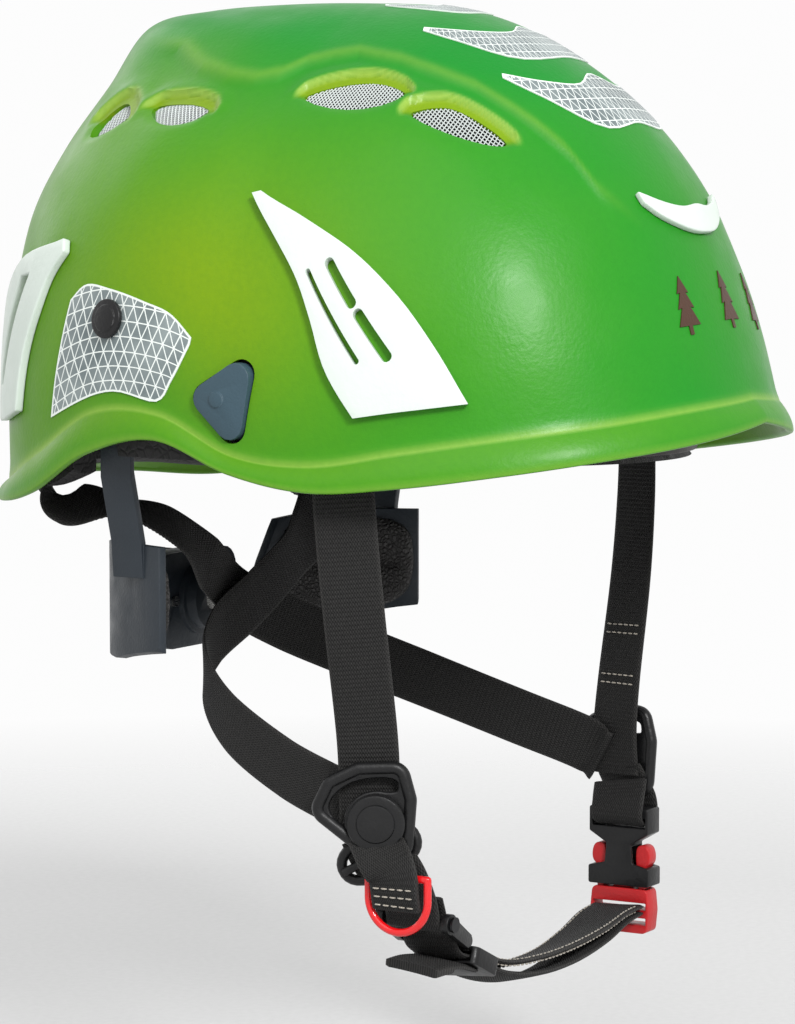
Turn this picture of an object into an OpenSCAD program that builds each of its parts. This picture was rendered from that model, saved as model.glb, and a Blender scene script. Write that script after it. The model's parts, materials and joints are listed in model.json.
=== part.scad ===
// Vented forestry and climbing helmet: moulded shell over a foam liner, ratchet nape adjuster,
// four webbing straps and a side-release chin buckle.
// Frame: +Z up, the front faces -Y, the wearer's right is -X. The origin is at the middle of the
// head opening, level with the lowest point of the side rim.

/* [Shell] */
// Thickness of the moulded outer shell
shell_t = 3; // [2.5:0.5:4]
// Thickness of the foam liner at the crown
liner_t = 15; // [12:1:18]
// Gap between the shell and the liner, where the vent meshes sit
liner_gap = 1.4; // [1.2:0.1:2]

/* [Harness] */
// Width of the webbing
web_w = 20; // [15:1:22]
// Thickness of the webbing
web_t = 1.6; // [1.2:0.2:2]
// Height of the front headband
band_h = 26; // [18:2:32]

/* [Nape adjuster] */
// Diameter of the adjusting knob
knob_d = 34; // [28:1:36]
// Radius of the pins on which the nape arms tilt
pin_r = 2; // [2:0.25:2.5]

/* [Buckle and plugs] */
// Width of the buckle
buckle_w = 22; // [20:1:24]
// Depth of the plug in the visor socket
plug_d = 7; // [6:0.5:8]

/* [Hidden] */

// Meridian profiles from the crease above the rim (first value) to the crown (last value)
front_r = [133.5, 127, 119, 108.5, 94, 77, 58, 39, 20, 0];
front_z = [27, 50, 72, 94, 114, 130, 143, 152, 156.5, 158];
side_r = [106, 105.3, 101.5, 93.5, 81, 66, 49, 32, 16, 0];
side_z = [14, 36, 60, 84, 107, 126, 141, 151, 156.5, 158];
rear_r = [137, 137.5, 136, 131, 120, 106, 93, 70, 35, 0];
rear_z = [0, 32, 62, 90, 112, 132, 152, 157, 158.5, 158];
// Heights of the crease and of the rim, and how far the rim flares, every so many degrees
crease_z = [27, 24.5, 20.5, 16.5, 12, 7.5, 10, 22, 22, 7, -4, -5, -5];
rim_z = [20, 15, 10.5, 6, 2, 0, 5, 14.8, 9, -6, -11, -8.5, -7];
rim_flare = [5.5, 5, 4.5, 4, 4, 4.5, 5];

function clamp(v, lo, hi) = min(max(v, lo), hi);
function mix(a, b, t) = a * (1 - t) + b * t;
function unit(v) = v / norm(v);

// Smooth curve through equally spaced values, u from 0 to 1
function spline(tab, u) =
    let (n = len(tab) - 1, x = clamp(u, 0, 1) * n, i = min(floor(x), n - 1), t = x - i)
    let (b = tab[i], c = tab[i + 1])
    let (a = i == 0 ? 2 * b - c : tab[i - 1], d = i == n - 1 ? 2 * c - b : tab[i + 2])
    0.5 * (2 * b + (c - a) * t + (2 * a - 5 * b + 4 * c - d) * t * t
        + (3 * b - a - 3 * c + d) * t * t * t);

function around(a) = abs(((a + 540) % 360) - 180);

// Point of the outer surface: a is the bearing from the front, towards the wearer's left, and
// s runs from 0 at the crease to 1 at the crown
function dome(a, s) =
    let (back = around(a) > 90, c = abs(cos(a)), q = abs(sin(a)), w = q * q)
    let (lr = back ? spline(rear_r, s) : spline(front_r, s))
    let (lz = back ? spline(rear_z, s) : spline(front_z, s))
    let (e = back ? 2.35 : 2.1, sr = spline(side_r, s))
    let (r = s >= 1 ? 0 : pow(pow(q / sr, e) + pow(c / lr, e), -1 / e))
    let (base = mix(back ? rear_z[0] : front_z[0], side_z[0], w))
    let (z = mix(lz, spline(side_z, s), w))
    [r * sin(a), -r * cos(a), z + (spline(crease_z, around(a) / 180) - base) * pow(1 - s, 2)];

function outward(a, s) =
    let (e = 0.01, h = s < 0.985 ? s : 0.985)
    let (u = dome(a + 1, h) - dome(a - 1, h), v = dome(a, h + e) - dome(a, max(h - e, 0)))
    s > 0.985 ? [0, 0, 1] : unit(cross(u, v));

// Point at a distance off the outer surface
function skin(a, s, off) = dome(a, s) + off * outward(a, s);

// Point of the rim, moved inwards by inset and up by lift
function rim(a, inset, lift) =
    let (p = dome(a, 0), r = norm([p[0], p[1]]))
    let (k = (r + spline(rim_flare, around(a) / 180) - inset) / r)
    [p[0] * k, p[1] * k, spline(rim_z, around(a) / 180) + lift];

// Closed solid through rings of the same number of points, from one tip to the other
module ring_solid(rings, first, last) {
    n = len(rings[0]);
    m = len(rings);
    points = concat([for (r = rings) each r], [first, last]);
    faces = concat(
        [for (j = [0:m - 2], i = [0:n - 1]) let (k = (i + 1) % n)
            [j * n + i, (j + 1) * n + k, j * n + k]],
        [for (j = [0:m - 2], i = [0:n - 1]) let (k = (i + 1) % n)
            [j * n + i, (j + 1) * n + i, (j + 1) * n + k]],
        [for (i = [0:n - 1]) [i, (i + 1) % n, m * n]],
        [for (i = [0:n - 1]) [(m - 1) * n + (i + 1) % n, (m - 1) * n + i, m * n + 1]]);
    polyhedron(points, faces, convexity = 6);
}

// Closed slab between a grid of upper points and the matching grid of lower points
module slab(top, bottom) {
    m = len(top);
    n = len(top[0]);
    k = m * n;
    points = concat([for (r = top) each r], [for (r = bottom) each r]);
    faces = concat(
        [for (j = [0:m - 2], i = [0:n - 2]) each [
            [j * n + i, (j + 1) * n + i + 1, j * n + i + 1],
            [j * n + i, (j + 1) * n + i, (j + 1) * n + i + 1],
            [k + j * n + i, k + j * n + i + 1, k + (j + 1) * n + i + 1],
            [k + j * n + i, k + (j + 1) * n + i + 1, k + (j + 1) * n + i]]],
        [for (i = [0:n - 2]) each [
            [i, k + i + 1, k + i], [i, i + 1, k + i + 1],
            [(m - 1) * n + i + 1, k + (m - 1) * n + i, k + (m - 1) * n + i + 1],
            [(m - 1) * n + i + 1, (m - 1) * n + i, k + (m - 1) * n + i]]],
        [for (j = [0:m - 2]) each [
            [(j + 1) * n, k + j * n, k + (j + 1) * n], [(j + 1) * n, j * n, k + j * n],
            [j * n + n - 1, k + (j + 1) * n + n - 1, k + j * n + n - 1],
            [j * n + n - 1, (j + 1) * n + n - 1, k + (j + 1) * n + n - 1]]]);
    polyhedron(points, faces, convexity = 6);
}

// Patch of the dome between two edges, each a list of [bearing, s], from lo to hi off the surface
module patch(edge_a, edge_b, lo, hi, rows = 8, cols = 4) {
    grid = [for (j = [0:rows]) [for (i = [0:cols])
        mix(spline(edge_a, j / rows), spline(edge_b, j / rows), i / cols)]];
    function lay(off) = [for (r = grid) [for (p = r) skin(p[0], p[1], off)]];
    slab(lay(hi), lay(lo));
}

// Prism through the dome under an outline of [bearing, s] points
module window(outline, lo, hi) {
    hull() for (p = outline, off = [lo, hi])
        translate(skin(p[0], p[1], off)) cube(0.2, center = true);
}

// Flat strap along points; widths holds the direction of the strap's width at each point
module strap(points, widths, steps = 4) {
    n = (len(points) - 1) * steps;
    function run(u) = unit(spline(points, min(u + 0.01, 1)) - spline(points, max(u - 0.01, 0)));
    function across(u) = let (w = spline(widths, u), t = run(u)) unit(w - t * (w * t));
    function edge(u, x, y) = spline(points, u) + across(u) * x * web_w / 2
        + cross(run(u), across(u)) * y * web_t / 2;
    function lay(y) = [for (j = [0:n]) [for (x = [-1, 0, 1]) edge(j / n, x, y)]];
    slab(lay(-1), lay(1));
}

module left() {
    mirror([1, 0, 0]) children();
}

// Outline with every corner rounded by the same radius
function rounded(pts, r, k = 5) =
    let (n = len(pts))
    [for (i = [0:n - 1])
        let (p = pts[i], a = unit(pts[(i + n - 1) % n] - p), b = unit(pts[(i + 1) % n] - p))
        let (h = acos(clamp(a * b, -1, 1)) / 2, c = p + unit(a + b) * r / sin(h))
        let (s = atan2((p + a * r / tan(h) - c)[1], (p + a * r / tan(h) - c)[0]))
        let (e = atan2((p + b * r / tan(h) - c)[1], (p + b * r / tan(h) - c)[0]))
        let (d = ((e - s + 540) % 360) - 180)
        for (j = [0:k]) c + r * [cos(s + d * j / k), sin(s + d * j / k)]];

module plate(pts, r, h) {
    linear_extrude(h) polygon(rounded(pts, r));
}

function box_points(w, h) = [[-w / 2, -h / 2], [w / 2, -h / 2], [w / 2, h / 2], [-w / 2, h / 2]];

// ---- Shell, liner and what sits on them ----

// Vents of the right side, from front to rear, as outlines of [bearing, s]
vents = [
    [[-59, 0.52], [-52, 0.535], [-45, 0.53], [-36, 0.455], [-38, 0.435], [-48, 0.465]],
    [[-92, 0.56], [-82, 0.595], [-66, 0.605], [-55, 0.56], [-71, 0.525]],
    [[-135, 0.535], [-114, 0.52], [-115, 0.485], [-122, 0.47], [-130, 0.495]],
    [[-146, 0.545], [-139, 0.51], [-139, 0.48], [-147, 0.46], [-150, 0.50]]];
visor_outline = [[17, 29], [-9, 45], [-3, 10]];
visor_face_x = -107.5;
grid_a = 6;
grid_s = 12;
liner_out = -shell_t - liner_gap;
// Places of the strap anchors on the shell's inner face, and how far each is turned
front_anchor_right = [-93, -33, 15];
front_turn_right = -64;
front_anchor_left = [90, -47, 15];
front_turn_left = 62;
rear_anchor_right = [-66.5, 101, 12];
rear_turn_right = -127;
rear_anchor_left = [66.5, 101, 12];
rear_turn_left = 127;
hinge_y = 55;
hinge_z = 22;

function ring_at(s, off, step = grid_a) = [for (a = [0:step:360 - step]) skin(a, s, off)];
function rim_ring(inset, lift, step = grid_a) = [for (a = [0:step:360 - step]) rim(a, inset, lift)];
function levels(n, from = 0) = [for (i = [0:n - 1]) mix(from, 1, i / n)];

// Prism of the visor socket's rounded triangle, scaled up about its middle by grow millimetres
module visor_prism(grow, from_x, to_x) {
    c = (visor_outline[0] + visor_outline[1] + visor_outline[2]) / 3;
    outline = [for (p = visor_outline) p + unit(p - c) * grow * 2];
    translate([from_x, 0, 0])
        rotate([90, 0, 90])
            linear_extrude(to_x - from_x)
                polygon(rounded(outline, 5));
}

module visor_cut(grow, depth) {
    hull() visor_prism(grow, visor_face_x - 10, visor_face_x + depth);
}

module vent_cuts(lo, hi) {
    for (v = vents) {
        window(v, lo, hi);
        left() window(v, lo, hi);
    }
}

module outer_shell() {
    up = levels(grid_s);
    color([0.25, 0.72, 0.2])
        difference() {
            ring_solid(
                concat(
                    [for (i = [grid_s - 1:-1:0]) ring_at(up[i], -shell_t)],
                    [rim_ring(shell_t, 0.6)],
                    [rim_ring(0, 0)],
                    [for (s = up) ring_at(s, 0)]),
                skin(0, 1, -shell_t), skin(0, 1, 0));
            vent_cuts(-8, 8);
            visor_cut(0.6, 20);
            left() visor_cut(0.6, 20);
        }
}

// Height of the liner's lower edge above the rim; it runs straight across the arch behind the ear
function liner_drop(a) =
    around(a) > 60 ? min(3, 7.5 - spline(rim_z, around(a) / 180)) : 3;

module foam_liner() {
    step = 7.5;
    rows = 9;
    up = levels(rows, 0.06);
    color([0.12, 0.12, 0.12])
        difference() {
            ring_solid(
                concat(
                    [for (i = [rows - 1:-1:0]) ring_at(up[i], liner_out - liner_t, step)],
                    [[for (a = [0:step:360 - step]) rim(a, liner_t + 8, liner_drop(a) + 3)]],
                    [[for (a = [0:step:360 - step]) rim(a, 10, liner_drop(a))]],
                    [for (s = up) ring_at(s, liner_out, step)]),
                skin(0, 1, liner_out - liner_t), skin(0, 1, liner_out));
            vent_cuts(-30, 0);
            visor_cut(0.8, plug_d + 1);
            left() visor_cut(0.8, plug_d + 1);
            for (m = [0, 1])
                mirror([m, 0, 0]) {
                    translate([-95.5, 42, -20])
                        cube([29.5, 32, hinge_z + 30]);
                    translate([-99, 42, hinge_z - 8])
                        cube([33, 32, 18]);
                }
            anchor_pocket(front_anchor_right, front_turn_right);
            anchor_pocket(front_anchor_left, front_turn_left);
            anchor_pocket(rear_anchor_right, rear_turn_right);
            anchor_pocket(rear_anchor_left, rear_turn_left);
        }
}

// Room in the liner for a strap anchor, open downwards
module anchor_pocket(at, turn) {
    translate(at)
        rotate([90, 0, turn])
            translate([0, -9, 0])
                cube([32, 36, 9], center = true);
}

module vent_mesh() {
    lo = -shell_t - 0.9;
    color("whitesmoke") {
        patch([[-60, 0.53], [-48, 0.545], [-36, 0.47]], [[-60, 0.50], [-48, 0.46], [-36, 0.425]],
            lo, lo + 0.4, 4, 2);
        patch([[-94, 0.565], [-74, 0.61], [-54, 0.575]], [[-94, 0.55], [-74, 0.52], [-54, 0.55]],
            lo, lo + 0.4, 4, 2);
        patch([[-137, 0.54], [-124, 0.535], [-112, 0.525]],
            [[-137, 0.49], [-124, 0.465], [-112, 0.475]], lo, lo + 0.4, 4, 2);
        patch([[-152, 0.55], [-145, 0.553], [-138.2, 0.545]],
            [[-152, 0.45], [-145, 0.45], [-138.2, 0.475]], lo, lo + 0.4, 4, 2);
    }
}

module vent_mesh_right() {
    vent_mesh();
}

module vent_mesh_left() {
    left() vent_mesh();
}

clip_lift = 0.15;
rear_clip_lift = 0.4;
clip_t = 3.2;

// Narrow slots through a clip, cut in short lengths so that they follow its curve
module clip_slot(from, to, half) {
    parts = 4;
    for (i = [0:parts - 1])
        window([for (u = [i / parts, (i + 1) / parts], h = [-half, half])
            mix(from, to, u) + [h, 0]], -0.5, 9);
}

module front_lamp_clip() {
    color("white")
        difference() {
            patch(
                [[-89, 0.385], [-78, 0.35], [-68, 0.30], [-60, 0.23], [-54, 0.15], [-49, 0.06]],
                [[-91, 0.38], [-84, 0.325], [-78.5, 0.27], [-75, 0.21], [-72, 0.14], [-67, 0.065]],
                clip_lift, clip_t, 10, 3);
            clip_slot([-72, 0.285], [-61.5, 0.145], 1);
            clip_slot([-76, 0.275], [-66.5, 0.145], 0.5);
        }
}

module front_lamp_clip_right() {
    front_lamp_clip();
}

module front_lamp_clip_left() {
    left() front_lamp_clip();
}

module rear_lamp_clip() {
    color("white")
        difference() {
            patch(
                [[-132, 0.29], [-146, 0.275], [-155, 0.22], [-158, 0.15], [-157, 0.07]],
                [[-131, 0.27], [-134, 0.24], [-136, 0.20], [-139, 0.14], [-141, 0.07]],
                rear_clip_lift, clip_t, 10, 3);
            window([[-141, 0.25], [-144.5, 0.25], [-150.5, 0.115], [-148.6, 0.112]], -4, 9);
        }
}

module rear_lamp_clip_right() {
    rear_lamp_clip();
}

module rear_lamp_clip_left() {
    left() rear_lamp_clip();
}

module front_goggle_clip() {
    color("white")
        patch(
            [[-15, 0.337], [-10, 0.318], [-5, 0.308], [0, 0.31], [5, 0.308], [10, 0.318], [15, 0.337]],
            [[-14.5, 0.318], [-11, 0.293], [-5, 0.27], [0, 0.264], [5, 0.27], [11, 0.293], [14.5, 0.318]],
            clip_lift, 2.6, 10, 3);
}

decal_lo = 0.1;
decal_hi = 0.5;

module side_reflector() {
    color("silver")
        patch(
            [[-99, 0.152], [-104, 0.174], [-110, 0.183], [-118, 0.198], [-124, 0.21], [-127.5, 0.195]],
            [[-99.2, 0.14], [-102.5, 0.07], [-106, 0.022], [-115, 0.03], [-123, 0.028], [-131, 0.035]],
            decal_lo, decal_hi, 10, 4);
}

module side_reflector_right() {
    side_reflector();
}

module side_reflector_left() {
    left() side_reflector();
}

module crown_reflectors() {
    color("silver") {
        patch(
            [[-31, 0.585], [-21, 0.563], [-10, 0.553], [0, 0.58], [10, 0.553], [21, 0.563], [31, 0.585]],
            [[-31.5, 0.575], [-24, 0.525], [-13, 0.455], [0, 0.462], [13, 0.455], [24, 0.525], [31.5, 0.575]],
            0.35, 0.75, 10, 3);
        patch(
            [[-48, 0.735], [-27, 0.713], [-12, 0.71], [0, 0.735], [12, 0.71], [27, 0.713], [48, 0.735]],
            [[-49, 0.722], [-38, 0.68], [-22, 0.622], [0, 0.625], [22, 0.622], [38, 0.68], [49, 0.722]],
            0.35, 0.75, 10, 3);
        patch(
            [[-76, 0.9], [-48, 0.888], [-22, 0.88], [0, 0.905], [22, 0.88], [48, 0.888], [76, 0.9]],
            [[-74, 0.885], [-46, 0.85], [-20, 0.81], [0, 0.812], [20, 0.81], [46, 0.85], [74, 0.885]],
            0.35, 0.75, 10, 3);
    }
}

// Row of three plain conifers
module front_emblem() {
    color([0.2, 0.12, 0.08])
        for (a = [-12, 0, 12])
            patch([[a - 3.6, 0.095], [a - 2, 0.14], [a - 0.4, 0.185]],
                [[a + 3.6, 0.095], [a + 2, 0.14], [a + 0.4, 0.185]], decal_lo, decal_hi, 4, 2);
}

badge_at = [-117, 0.15];
badge_r = 6.5;

module side_badge() {
    p = skin(badge_at[0], badge_at[1], 0.8);
    n = outward(badge_at[0], badge_at[1]);
    color("black")
        translate(p)
            rotate([0, acos(n[2]), atan2(n[1], n[0])]) {
                cylinder(r = badge_r, h = 1.6, $fn = 48);
                cylinder(r = badge_r - 2, h = 2.2, $fn = 48);
            }
}

module side_badge_right() {
    side_badge();
}

module side_badge_left() {
    left() side_badge();
}

// Blanking plug that fills the socket for a visor pivot
module visor_plug() {
    color([0.28, 0.34, 0.38]) {
        visor_prism(0, visor_face_x, visor_face_x + plug_d);
        translate([visor_face_x - 0.6, 5, 28])
            rotate([0, 90, 0])
                cylinder(r = 2.6, h = 1.2, $fn = 32);
    }
}

module visor_plug_right() {
    visor_plug();
}

module visor_plug_left() {
    left() visor_plug();
}

// ---- Inside: headband and pads ----

band_a = 83;
band_b = 105;
band_base = 8;

// Point of the oval that follows the head, at a bearing from the front
function oval(a, half_x, half_y, z) = [half_x * sin(a), -half_y * cos(a), z];

// Upright band that follows the oval between two bearings
module oval_band(from, to, half_x, half_y, thick, z0, z1, n = 24) {
    a = [for (i = [0:n]) mix(from, to, i / n)];
    outer = [for (b = a) let (p = oval(b, half_x + thick, half_y + thick, 0)) [p[0], p[1]]];
    inner = [for (i = [n:-1:0]) let (p = oval(a[i], half_x, half_y, 0)) [p[0], p[1]]];
    translate([0, 0, z0])
        linear_extrude(z1 - z0)
            polygon(concat(outer, inner));
}

module headband() {
    color([0.18, 0.18, 0.2])
        oval_band(-104, 104, band_a, band_b, 1.8, band_base, band_base + band_h, 36);
}

module brow_pad() {
    color([0.1, 0.1, 0.1])
        oval_band(-72, 72, band_a - 5.3, band_b - 5.3, 5, band_base - 2, band_base + band_h + 2, 30);
}

module crown_pad() {
    top = liner_out - liner_t - 0.8;
    color([0.1, 0.1, 0.1])
        for (a = [0, 90, 180, 270])
            patch([[a - 14, 0.5], [a - 16, 0.64], [a - 20, 0.78]],
                [[a + 14, 0.5], [a + 16, 0.64], [a + 20, 0.78]], top - 5, top, 4, 3);
}

// ---- Nape adjuster ----

nape_y = 88;
nape_z = -50;
rack_t = 3;
pinion_r = 7;
eye_x = -91.5;
eye_t = 2.5;
run_gap = 0.05;
stud_x0 = -95.4;
stud_x1 = -77.4;

// Cylinder along X through the tilt axis of the nape adjuster
module tilt_rod(r, x0, x1) {
    translate([x0, hinge_y, hinge_z])
        rotate([0, 90, 0])
            cylinder(r = r, h = x1 - x0, $fn = 48);
}

// Stud on the shell's inner face that carries the arm's eye
module hanger_stud() {
    color("silver") {
        tilt_rod(pin_r, stud_x0, stud_x1);
        tilt_rod(pin_r + 4, stud_x0, stud_x0 + 1.8);
    }
}

// Push-on disc that keeps the eye on its stud
module hanger_retainer() {
    color([0.16, 0.16, 0.18])
        difference() {
            tilt_rod(5, stud_x1 - 2.2, stud_x1 - 0.2);
            tilt_rod(pin_r, stud_x0, stud_x1 + 1);
        }
}

module hanger_pin_right() {
    hanger_stud();
}

module hanger_pin_left() {
    left() hanger_stud();
}

module hanger_retainer_right() {
    hanger_retainer();
}

module hanger_retainer_left() {
    left() hanger_retainer();
}

// Wing of the right arm in plan, from the housing round to the side of the neck
wing_path = [[-32, 88], [-44, 87], [-57, 81], [-68, 73], [-77, 62], [-83, 51], [-87, 41]];

function wing_at(u, inward) =
    let (t = spline(wing_path, min(u + 0.01, 1)) - spline(wing_path, max(u - 0.01, 0)))
    spline(wing_path, u) + unit([-t[1], t[0]]) * inward;

module wing_band(u0, u1, near, far, n = 16) {
    polygon(concat(
        [for (i = [0:n]) wing_at(mix(u0, u1, i / n), near)],
        [for (i = [n:-1:0]) wing_at(mix(u0, u1, i / n), far)]));
}

// Rack tooth outline, tip towards -Z, pitch line at z = 0
tooth_pitch = 2 * PI * pinion_r / 14;
function tooth_points(c) = [[c - 1.25, 1.2], [c - 0.35, -0.95], [c + 0.35, -0.95], [c + 1.25, 1.2]];

module rack(flip) {
    translate([0, nape_y + rack_t / 2, nape_z])
        rotate([90, 0, 0])
            linear_extrude(rack_t)
                mirror([0, flip, 0])
                    translate([0, pinion_r])
                        union() {
                            translate([-34, 1.1])
                                square([52, 4.4]);
                            for (i = [-5:5])
                                polygon(tooth_points(i * tooth_pitch));
                        }
}

// Arm with its rack above the pinion, or below it when flip is 1
module arm(flip) {
    neck_hi = flip == 1 ? -49 : -37.5;
    neck_lo = flip == 1 ? -62.5 : -51;
    side_view = [[-30, neck_lo], [-30, neck_hi], [-42, neck_hi], [-52, -26], [-70, -23], [-95, -23],
        [-95, -45], [-86, -58], [-72, -63], [-48, -63], [-40, neck_lo]];
    color([0.2, 0.22, 0.25])
        difference() {
            union() {
                rack(flip);
                intersection() {
                    linear_extrude(200, center = true) wing_band(0, 1, 0, rack_t);
                    rotate([90, 0, 0])
                        linear_extrude(400, center = true)
                            polygon(side_view);
                }
                translate([0, hinge_y + 6, 0])
                    rotate([90, 0, 0])
                        linear_extrude(12)
                            polygon([[-84.4, -34], [-81.5, -34], [-82.5, -22], [eye_x + eye_t, 2],
                                [eye_x + eye_t, hinge_z], [eye_x, hinge_z], [eye_x, 0], [-85.5, -22]]);
                tilt_rod(6, eye_x, eye_x + eye_t);
            }
            tilt_rod(pin_r + run_gap, -110, -70);
            for (z = [-50, -38])
                translate([-64, 0, z])
                    cube([10, 200, 7]);
        }
}

module nape_arm_right() {
    arm(0);
}

module nape_arm_left() {
    left() arm(1);
}

module nape_pad() {
    color([0.13, 0.1, 0.09])
        intersection() {
            linear_extrude(200, center = true) wing_band(0.25, 1, rack_t + 0.2, rack_t + 4.2);
            rotate([90, 0, 0])
                linear_extrude(400, center = true)
                    polygon(rounded([[-36, -62], [-95, -62], [-95, -25], [-36, -25]], 6));
        }
}

module nape_pad_right() {
    nape_pad();
}

module nape_pad_left() {
    left() nape_pad();
}

house_w = 50;
house_h = 34;
house_y0 = 84;
house_y1 = 93;

// Outline in the X-Z plane, extruded from y0 to y1
module upright(y0, y1) {
    translate([0, y1, 0])
        rotate([90, 0, 0])
            linear_extrude(y1 - y0)
                children();
}

module y_rod(r, y0, y1) {
    translate([0, y0, nape_z])
        rotate([-90, 0, 0])
            cylinder(r = r, h = y1 - y0, $fn = 64);
}

axle_r = 2;
sleeve_r = 4;

module nape_housing() {
    outline = rounded(box_points(house_w, house_h), 8);
    color([0.15, 0.15, 0.17])
        difference() {
            upright(house_y0, house_y1)
                translate([0, nape_z]) polygon(outline);
            upright(house_y0 - 1, house_y1 - 2)
                translate([0, nape_z]) square([house_w + 2, 26.6], center = true);
            y_rod(sleeve_r + 0.15, house_y0, house_y1 + 1);
            for (x = [-16, 16])
                translate([x, 0, 0]) y_rod(0.9, house_y0, house_y1 + 1);
        }
}

module nape_cover() {
    outline = rounded(box_points(house_w, house_h), 8);
    color([0.13, 0.13, 0.15])
        difference() {
            union() {
                upright(house_y0 - 2.2, house_y0 - 0.2)
                    translate([0, nape_z]) polygon(outline);
                y_rod(13, house_y0 - 4.2, house_y0 - 2.2);
                y_rod(11, house_y0 - 8.2, house_y0 - 4.2);
            }
            y_rod(axle_r, 60, 100);
            y_rod(axle_r + 2, 60, house_y0 - 6);
            for (x = [-16, 16])
                translate([x, 0, 0]) y_rod(1.1, 60, 100);
        }
}

module nape_screws() {
    color("silver")
        for (x = [-16, 16])
            translate([x, 0, 0]) {
                y_rod(0.9, house_y0 - 2.2, house_y1);
                y_rod(1.8, house_y0 - 3.4, house_y0 - 2.2);
            }
}

module knob_axle() {
    color("silver") {
        y_rod(axle_r, house_y0 - 7, 107);
        y_rod(axle_r + 1.8, house_y0 - 8, house_y0 - 7);
    }
}

module nape_pinion() {
    color("ivory")
        difference() {
            union() {
                translate([0, nape_y + rack_t / 2, nape_z])
                    rotate([90, 0, 0])
                        linear_extrude(rack_t)
                            union() {
                                circle(r = pinion_r - 1.25, $fn = 64);
                                for (i = [0:13])
                                    rotate(i * 360 / 14)
                                        polygon([[5.2, -1.1], [pinion_r, -0.72], [pinion_r + 0.9, -0.3],
                                            [pinion_r + 0.9, 0.3], [pinion_r, 0.72], [5.2, 1.1]]);
                            }
                y_rod(sleeve_r, nape_y + rack_t / 2, 100);
            }
            y_rod(axle_r + run_gap, 60, 120);
        }
}

module nape_knob() {
    color([0.12, 0.12, 0.13])
        difference() {
            union() {
                y_rod(knob_d / 2, 95, 105);
                y_rod(knob_d / 2 - 2, 105, 107);
            }
            y_rod(sleeve_r, 90, 100);
            y_rod(axle_r + run_gap, 90, 120);
            y_rod(10, 104.5, 110);
            for (i = [0:15])
                rotate_knob(i * 360 / 16)
                    translate([knob_d / 2 + 1.2, 0, 0]) y_rod(2.4, 90, 120);
        }
}

module rotate_knob(a) {
    translate([0, 0, nape_z])
        rotate([0, a, 0])
            translate([0, 0, -nape_z])
                children();
}

module click_spring() {
    color("gold")
        difference() {
            y_rod(9, house_y1 + 0.3, house_y1 + 1.1);
            y_rod(6.5, 90, 100);
        }
}

module click_ring() {
    color([0.3, 0.3, 0.3])
        difference() {
            y_rod(14, house_y1, house_y1 + 1.4);
            y_rod(11, 90, 100);
            for (i = [0:23])
                rotate_knob(i * 15)
                    translate([11, 0, 0]) y_rod(0.8, 90, 100);
        }
}

// ---- Webbing ----

module strap_anchor(at, turn) {
    translate(at)
        rotate([90, 0, turn])
            difference() {
                linear_extrude(3, center = true)
                    polygon(rounded(box_points(27, 14), 3));
                translate([0, -2, 0])
                    cube([21, 2.4, 10], center = true);
            }
}

module strap_anchors_front() {
    color([0.12, 0.12, 0.13]) {
        strap_anchor(front_anchor_right, front_turn_right);
        strap_anchor(front_anchor_left, front_turn_left);
    }
}

module strap_anchors_rear() {
    color([0.12, 0.12, 0.13]) {
        strap_anchor(rear_anchor_right, rear_turn_right);
        strap_anchor(rear_anchor_left, rear_turn_left);
    }
}

front_route_right = [[-93, -33, 7], [-91.5, -34, -16], [-88, -35, -44], [-80.2, -34.8, -80], [-77.9, -34.5, -99]];
front_route_left = [[90, -47.2, 7], [88.5, -47.5, -16], [85.5, -47, -44], [78.6, -46, -80], [76.8, -45.6, -99]];
// Right strap, from its anchor behind the right ear round the nape to the left divider
rear_route_right = [[-66.8, 101.2, 2.4], [-67.6, 99, -6], [-67.8, 90, -12], [-62, 74, -13], [-44, 63, -21],
    [-24, 62, -35], [0, 65, -49], [24, 61, -60], [46, 48, -71], [63, 24, -83], [72, -8, -95], [76.2, -33, -103.5]];
// Left strap, which passes in front of the right one where they cross
rear_route_left = [[66.8, 101.2, 2.4], [67.6, 99, -6], [67.5, 89, -12], [62, 71, -13], [44, 58, -21],
    [24, 56, -35], [0, 58, -49], [-24, 58.5, -60], [-46, 49, -71], [-64, 28, -83], [-74, 0, -95], [-78, -24, -103]];
rear_width_right = [[0.57, 0.82, 0], [0.57, 0.8, 0.05], [0.5, 0.4, 0.5], [0.4, 0.9, 0.3], [0.3, 0.7, 0.9],
    [0, 0, 1], [0, 0, 1], [0, 0, 1], [0, 0, 1], [0, 0, 1], [0, 0, 1], [0, 0, 1]];
rear_width_left = [for (w = rear_width_right) [-w[0], w[1], w[2]]];

module front_strap_right() {
    color([0.14, 0.13, 0.12])
        strap(front_route_right, [for (p = front_route_right) [-0.42, 0.9, 0]], 3);
}

module front_strap_left() {
    color([0.14, 0.13, 0.12])
        strap(front_route_left, [for (u = [0:4]) [0.42 - 0.0625 * u, 0.9, 0]], 3);
}

module rear_strap_right() {
    color([0.14, 0.13, 0.12]) strap(rear_route_right, rear_width_right, 3);
}

module rear_strap_left() {
    color([0.14, 0.13, 0.12]) strap(rear_route_left, rear_width_left, 3);
}

divider_at = [-81, -36, -107];
divider_left_at = [-80, -46, -107];
divider_turn = -64;
divider_left_turn = -80;

// Puts a piece drawn flat, with x forwards and y up, against the right cheek
module on_cheek(at, turn) {
    translate(at)
        rotate([90, 0, turn])
            children();
}

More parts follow.
